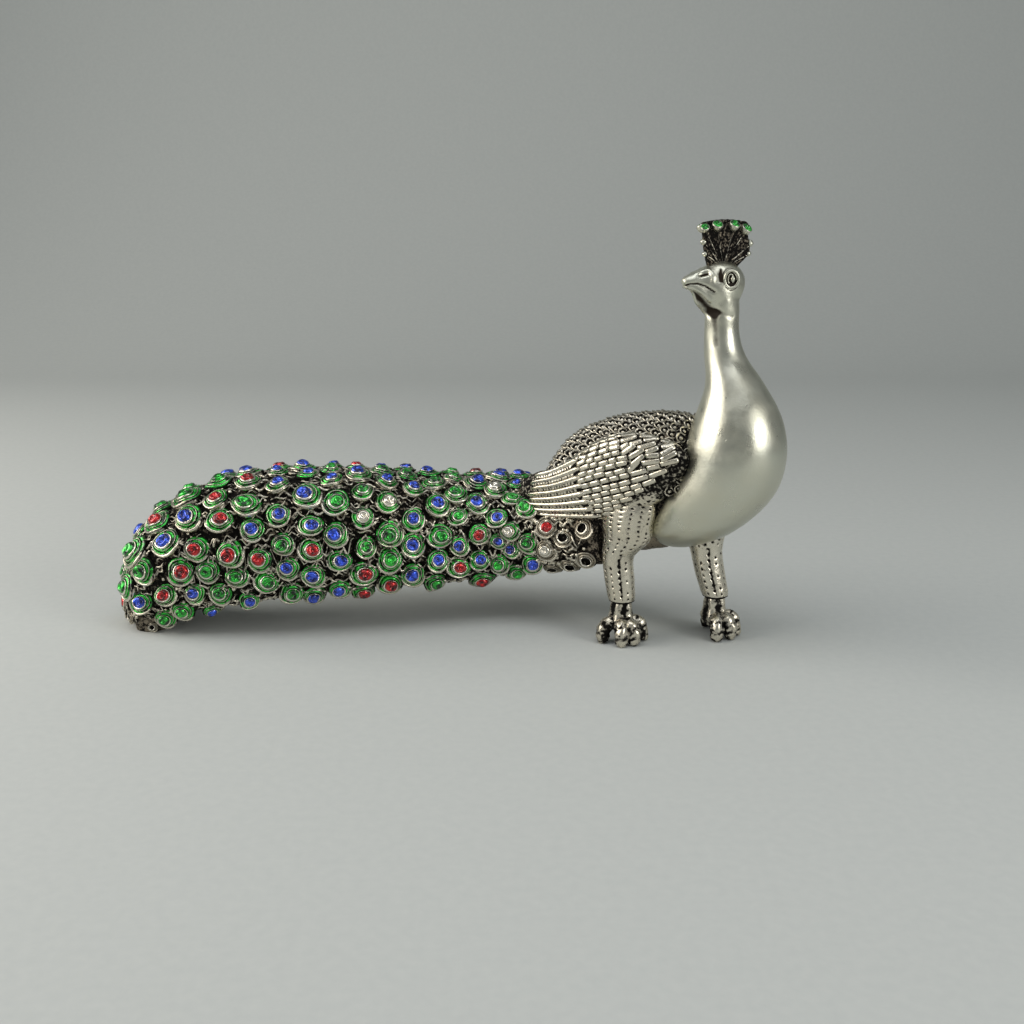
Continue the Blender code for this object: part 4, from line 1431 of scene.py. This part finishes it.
def make_crest_fan(finish):
    """The thin folded sheet that the ribs and cups sit on."""
    rows, wide = 8, (len(FAN_EDGE) - 1) * FOLD_STEPS + 1
    points, worn = [], []
    for half in (0.75, -0.75):
        for k in range(rows + 1):
            u = k / rows
            for j in range(wide):
                i, w = divmod(j, FOLD_STEPS)
                a, b = FAN_EDGE[i], FAN_EDGE[min(i + 1, len(FAN_EDGE) - 1)]
                x, z = a[0] + (b[0] - a[0]) * w / FOLD_STEPS, a[1] + (b[1] - a[1]) * w / FOLD_STEPS
                dip = 0.05 * math.sin(math.pi * w / FOLD_STEPS) if 3 <= i <= 6 else 0.0
                x, z = x * (1 - dip * u), z * (1 - dip * u)
                fold = 0.20 * math.cos(math.tau * w / FOLD_STEPS) * u
                side = (half + math.copysign(fold, half)) * (1.15 - 0.35 * u)
                points.append(on_crest(x * u, side, -0.6 + (z + 0.6) * u))
                worn.append(0.22 + 0.45 * noise.noise(points[-1] * 2.2))
    sheet = (rows + 1) * wide
    corners = [s * sheet + k * wide + j for s in (0, 1) for k in range(rows) for j in range(wide - 1)]
    faces = [(a, a + 1, a + wide + 1, a + wide) for a in corners]
    rim = [k * wide for k in range(rows + 1)] + [rows * wide + j for j in range(1, wide)]
    rim += [k * wide + wide - 1 for k in range(rows - 1, -1, -1)]
    faces += [(a, b, b + sheet, a + sheet) for a, b in zip(rim, rim[1:] + rim[:1])]
    obj = new_piece("crest_fan", points, faces, worn)
    edit(obj, lambda bm: bmesh.ops.remove_doubles(bm, verts=bm.verts, dist=0.001))
    outward_faces(obj)
    finish_piece(obj, finish)


def make_crest(finishes):
    """A thin fan with a rib to each cup; the tall cups hold green enamel."""
    make_crest_fan(finishes["ground"])
    lines = []
    for ahead, up, _ in CREST_CUPS:
        for side in (-0.8, 0.8):
            line = []
            for k in range(7):
                u = 0.06 + 0.86 * k / 6
                high = -0.4 + (up + 0.2) * u + 0.25 * math.sin(math.pi * u)
                line.append((on_crest(ahead * u, side * (1 - 0.1 * u), high), 1 - 0.3 * u))
            lines.append(line)
    finish_piece(wired("crest_ribs", lines, 0.17, 6, finishes["carved"], (0.0, 0.55)))

    turn = HEAD_FRAME.to_3x3()
    cups, beads = [], []
    for ahead, up, radius in CREST_CUPS[:4]:
        for side in (1, -1):
            facing = (turn @ Vector((ahead * 0.5, side * 7.0, up)).normalized()).to_track_quat("Z", "Y").to_matrix()
            cups.append((on_crest(ahead, side * 0.85, up), facing, (radius, radius, radius * 1.15), 0))
    for ahead, up, radius in CREST_CUPS[4:]:
        beads.append((on_crest(ahead, 0, up), turn, (radius, radius, radius), 0))
    cup, pool, bead = (
        shape_set(name, [turned(profile, segments)])
        for name, profile, segments in (("cup", CUP, 20), ("pool", POOL, 18), ("bead", BEAD, 16))
    )
    finish_piece(laid("crest_cups", cups, cup, finishes["polished"], 0.05, 0.03, 2))
    finish_piece(laid("crest_enamel", cups, pool, finishes["green"], 0.05, 0.03, 2))
    brim = []
    for k in range(17):
        x, z = 5.3 - 0.71 * k, 10.1 + 0.6 * math.sin(math.pi * k / 16)
        brim.append((on_crest(x, 0, z - 0.15), 1.0 + 0.25 * math.sin(3.1 * k)))
    finish_piece(wired("crest_brim", [brim], 0.5, 10, finishes["ground"], (0.1, 0.3)))
    finish_piece(laid("crest_beads", beads, bead, finishes["polished"], 0.05, 0.05, 3))


# Scene


def make_stage():
    """A plain pale floor that runs up into a backdrop."""
    half_width, front, back, bend, top, steps = 1500, -900, 420, 300, 1500, 24
    section = [(front, 0)]
    for k in range(steps + 1):
        a = math.pi / 2 * k / steps
        section.append((back + bend * math.sin(a), bend * (1 - math.cos(a))))
    section.append((back + bend, top))
    points = [(x, y, z) for y, z in section for x in (-half_width, half_width)]
    faces = [(2 * k, 2 * k + 1, 2 * k + 3, 2 * k + 2) for k in range(len(section) - 1)]
    floor = new_piece("floor", points, faces)
    for polygon in floor.data.polygons:
        polygon.use_smooth = True
    # Matt card: it takes soft shadows and shows no reflection.
    material, tree, shader, place = start_material("matt_pale_card")
    colour = blended(tree, mottle(tree, place, 2.2, 3.0), linear("#C1C5C3"), linear("#CBCECB"))
    fill(tree, shader, {"Base Color": colour, "Roughness": 0.85})
    floor.data.materials.append(material)
    floor.data.transform(Matrix.Scale(MILLIMETRE, 4))
    floor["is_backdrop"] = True


def add_softbox(name, place, aim, width, height, power, colour):
    light = bpy.data.lights.new(name, "AREA")
    light.shape = "RECTANGLE"
    light.size, light.size_y = width, height
    light.energy = power
    light.color = linear(colour)[:3]
    obj = in_scene(name, light)
    obj.location = place
    obj.rotation_euler = (Vector(aim) - Vector(place)).to_track_quat("-Z", "Y").to_euler()


def light_and_camera():
    world = bpy.data.worlds.new("studio")
    world.use_nodes = True
    fill(world.node_tree, world.node_tree.nodes["Background"], {"Color": linear("#BCC0C0"), "Strength": 0.46})
    bpy.context.scene.world = world
    bpy.context.scene.view_settings.view_transform = "Standard"
    for name, settings in SOFTBOXES.items():
        add_softbox(name, *settings)
    camera = bpy.data.cameras.new("camera")
    camera.lens, camera.sensor_width = CAMERA_LENS, 36
    camera.clip_start = 0.01
    obj = in_scene("camera", camera)
    obj.location = CAMERA_PLACE
    obj.rotation_euler = (math.radians(90) - CAMERA_DROP, 0, 0)
    bpy.context.scene.camera = obj


def make_finishes():
    return {
        # Cast silver, buffed by hand: soft wide reflections with faint smudges and a few casting pits.
        "polished": silver_finish(
            "buffed_cast_silver", "#D3D5C9", "#241C14", rough=0.33, oxide_rough=0.6, speck_size=3.5, speck=0.12,
            bump_height=0.03, pit=1.2,
        ),
        # Carved silver, rubbed after darkening: bright ridges and brown-black recesses.
        "carved": silver_finish(
            "rubbed_carved_silver", "#DCD8CB", "#0A0705", rough=0.26, oxide_rough=0.75, speck_size=0.7, speck=0.26,
            bump_height=0.05,
        ),
        # Drawn silver wire, brighter because it stands highest.
        "wire": silver_finish(
            "drawn_silver_wire", "#ECE9DF", "#1A140E", rough=0.20, oxide_rough=0.6, speck_size=0.6, speck=0.20,
            bump_height=0.03,
        ),
        # Silver left dark between the eyes: oxide with a few worn specks.
        "ground": silver_finish(
            "oxidised_silver", "#8F877A", "#090705", rough=0.42, oxide_rough=0.8, speck_size=0.5, speck=0.30,
            bump_height=0.12,
        ),
        # The bands of the rump's eyes are bare silver, half dark and blotched.
        "rump": silver_finish(
            "half_oxidised_silver", "#A8A396", "#0D0A07", rough=0.36, oxide_rough=0.75, speck_size=0.55, speck=0.9,
            bump_height=0.08,
        ),
        # Glass over silver: deep colour, lighter where it is thin, with sharp wet highlights.
        "green": enamel_finish("green_fired_enamel", "#021C05", "#2ACB3A"),
        "blue": enamel_finish("blue_fired_enamel", "#040A50", "#3A66FA"),
        "red": enamel_finish("red_fired_enamel", "#3C0305", "#DC1C20"),
    }


LAY_ON_POINTS = lay_on_points_tree()
DRAW_WIRE = draw_wire_tree()


def main():
    finishes = make_finishes()
    make_train(finishes)
    make_bust(finishes["polished"])
    make_face_rings(finishes["polished"])
    body = make_body(finishes["ground"])
    make_saddle(body, finishes["carved"])
    pads = shape_set("pad", [pad_shape(k) for k in range(4)])
    for left, name in ((-1, "right"), (1, "left")):
        make_wing(left, name, finishes["carved"], pads)
        make_leg(LEGS[name], name, finishes["carved"])
    make_crest(finishes)
    make_stage()
    light_and_camera()
    [[list(corner) for corner in box] for box in (solid_box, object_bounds())]


main()
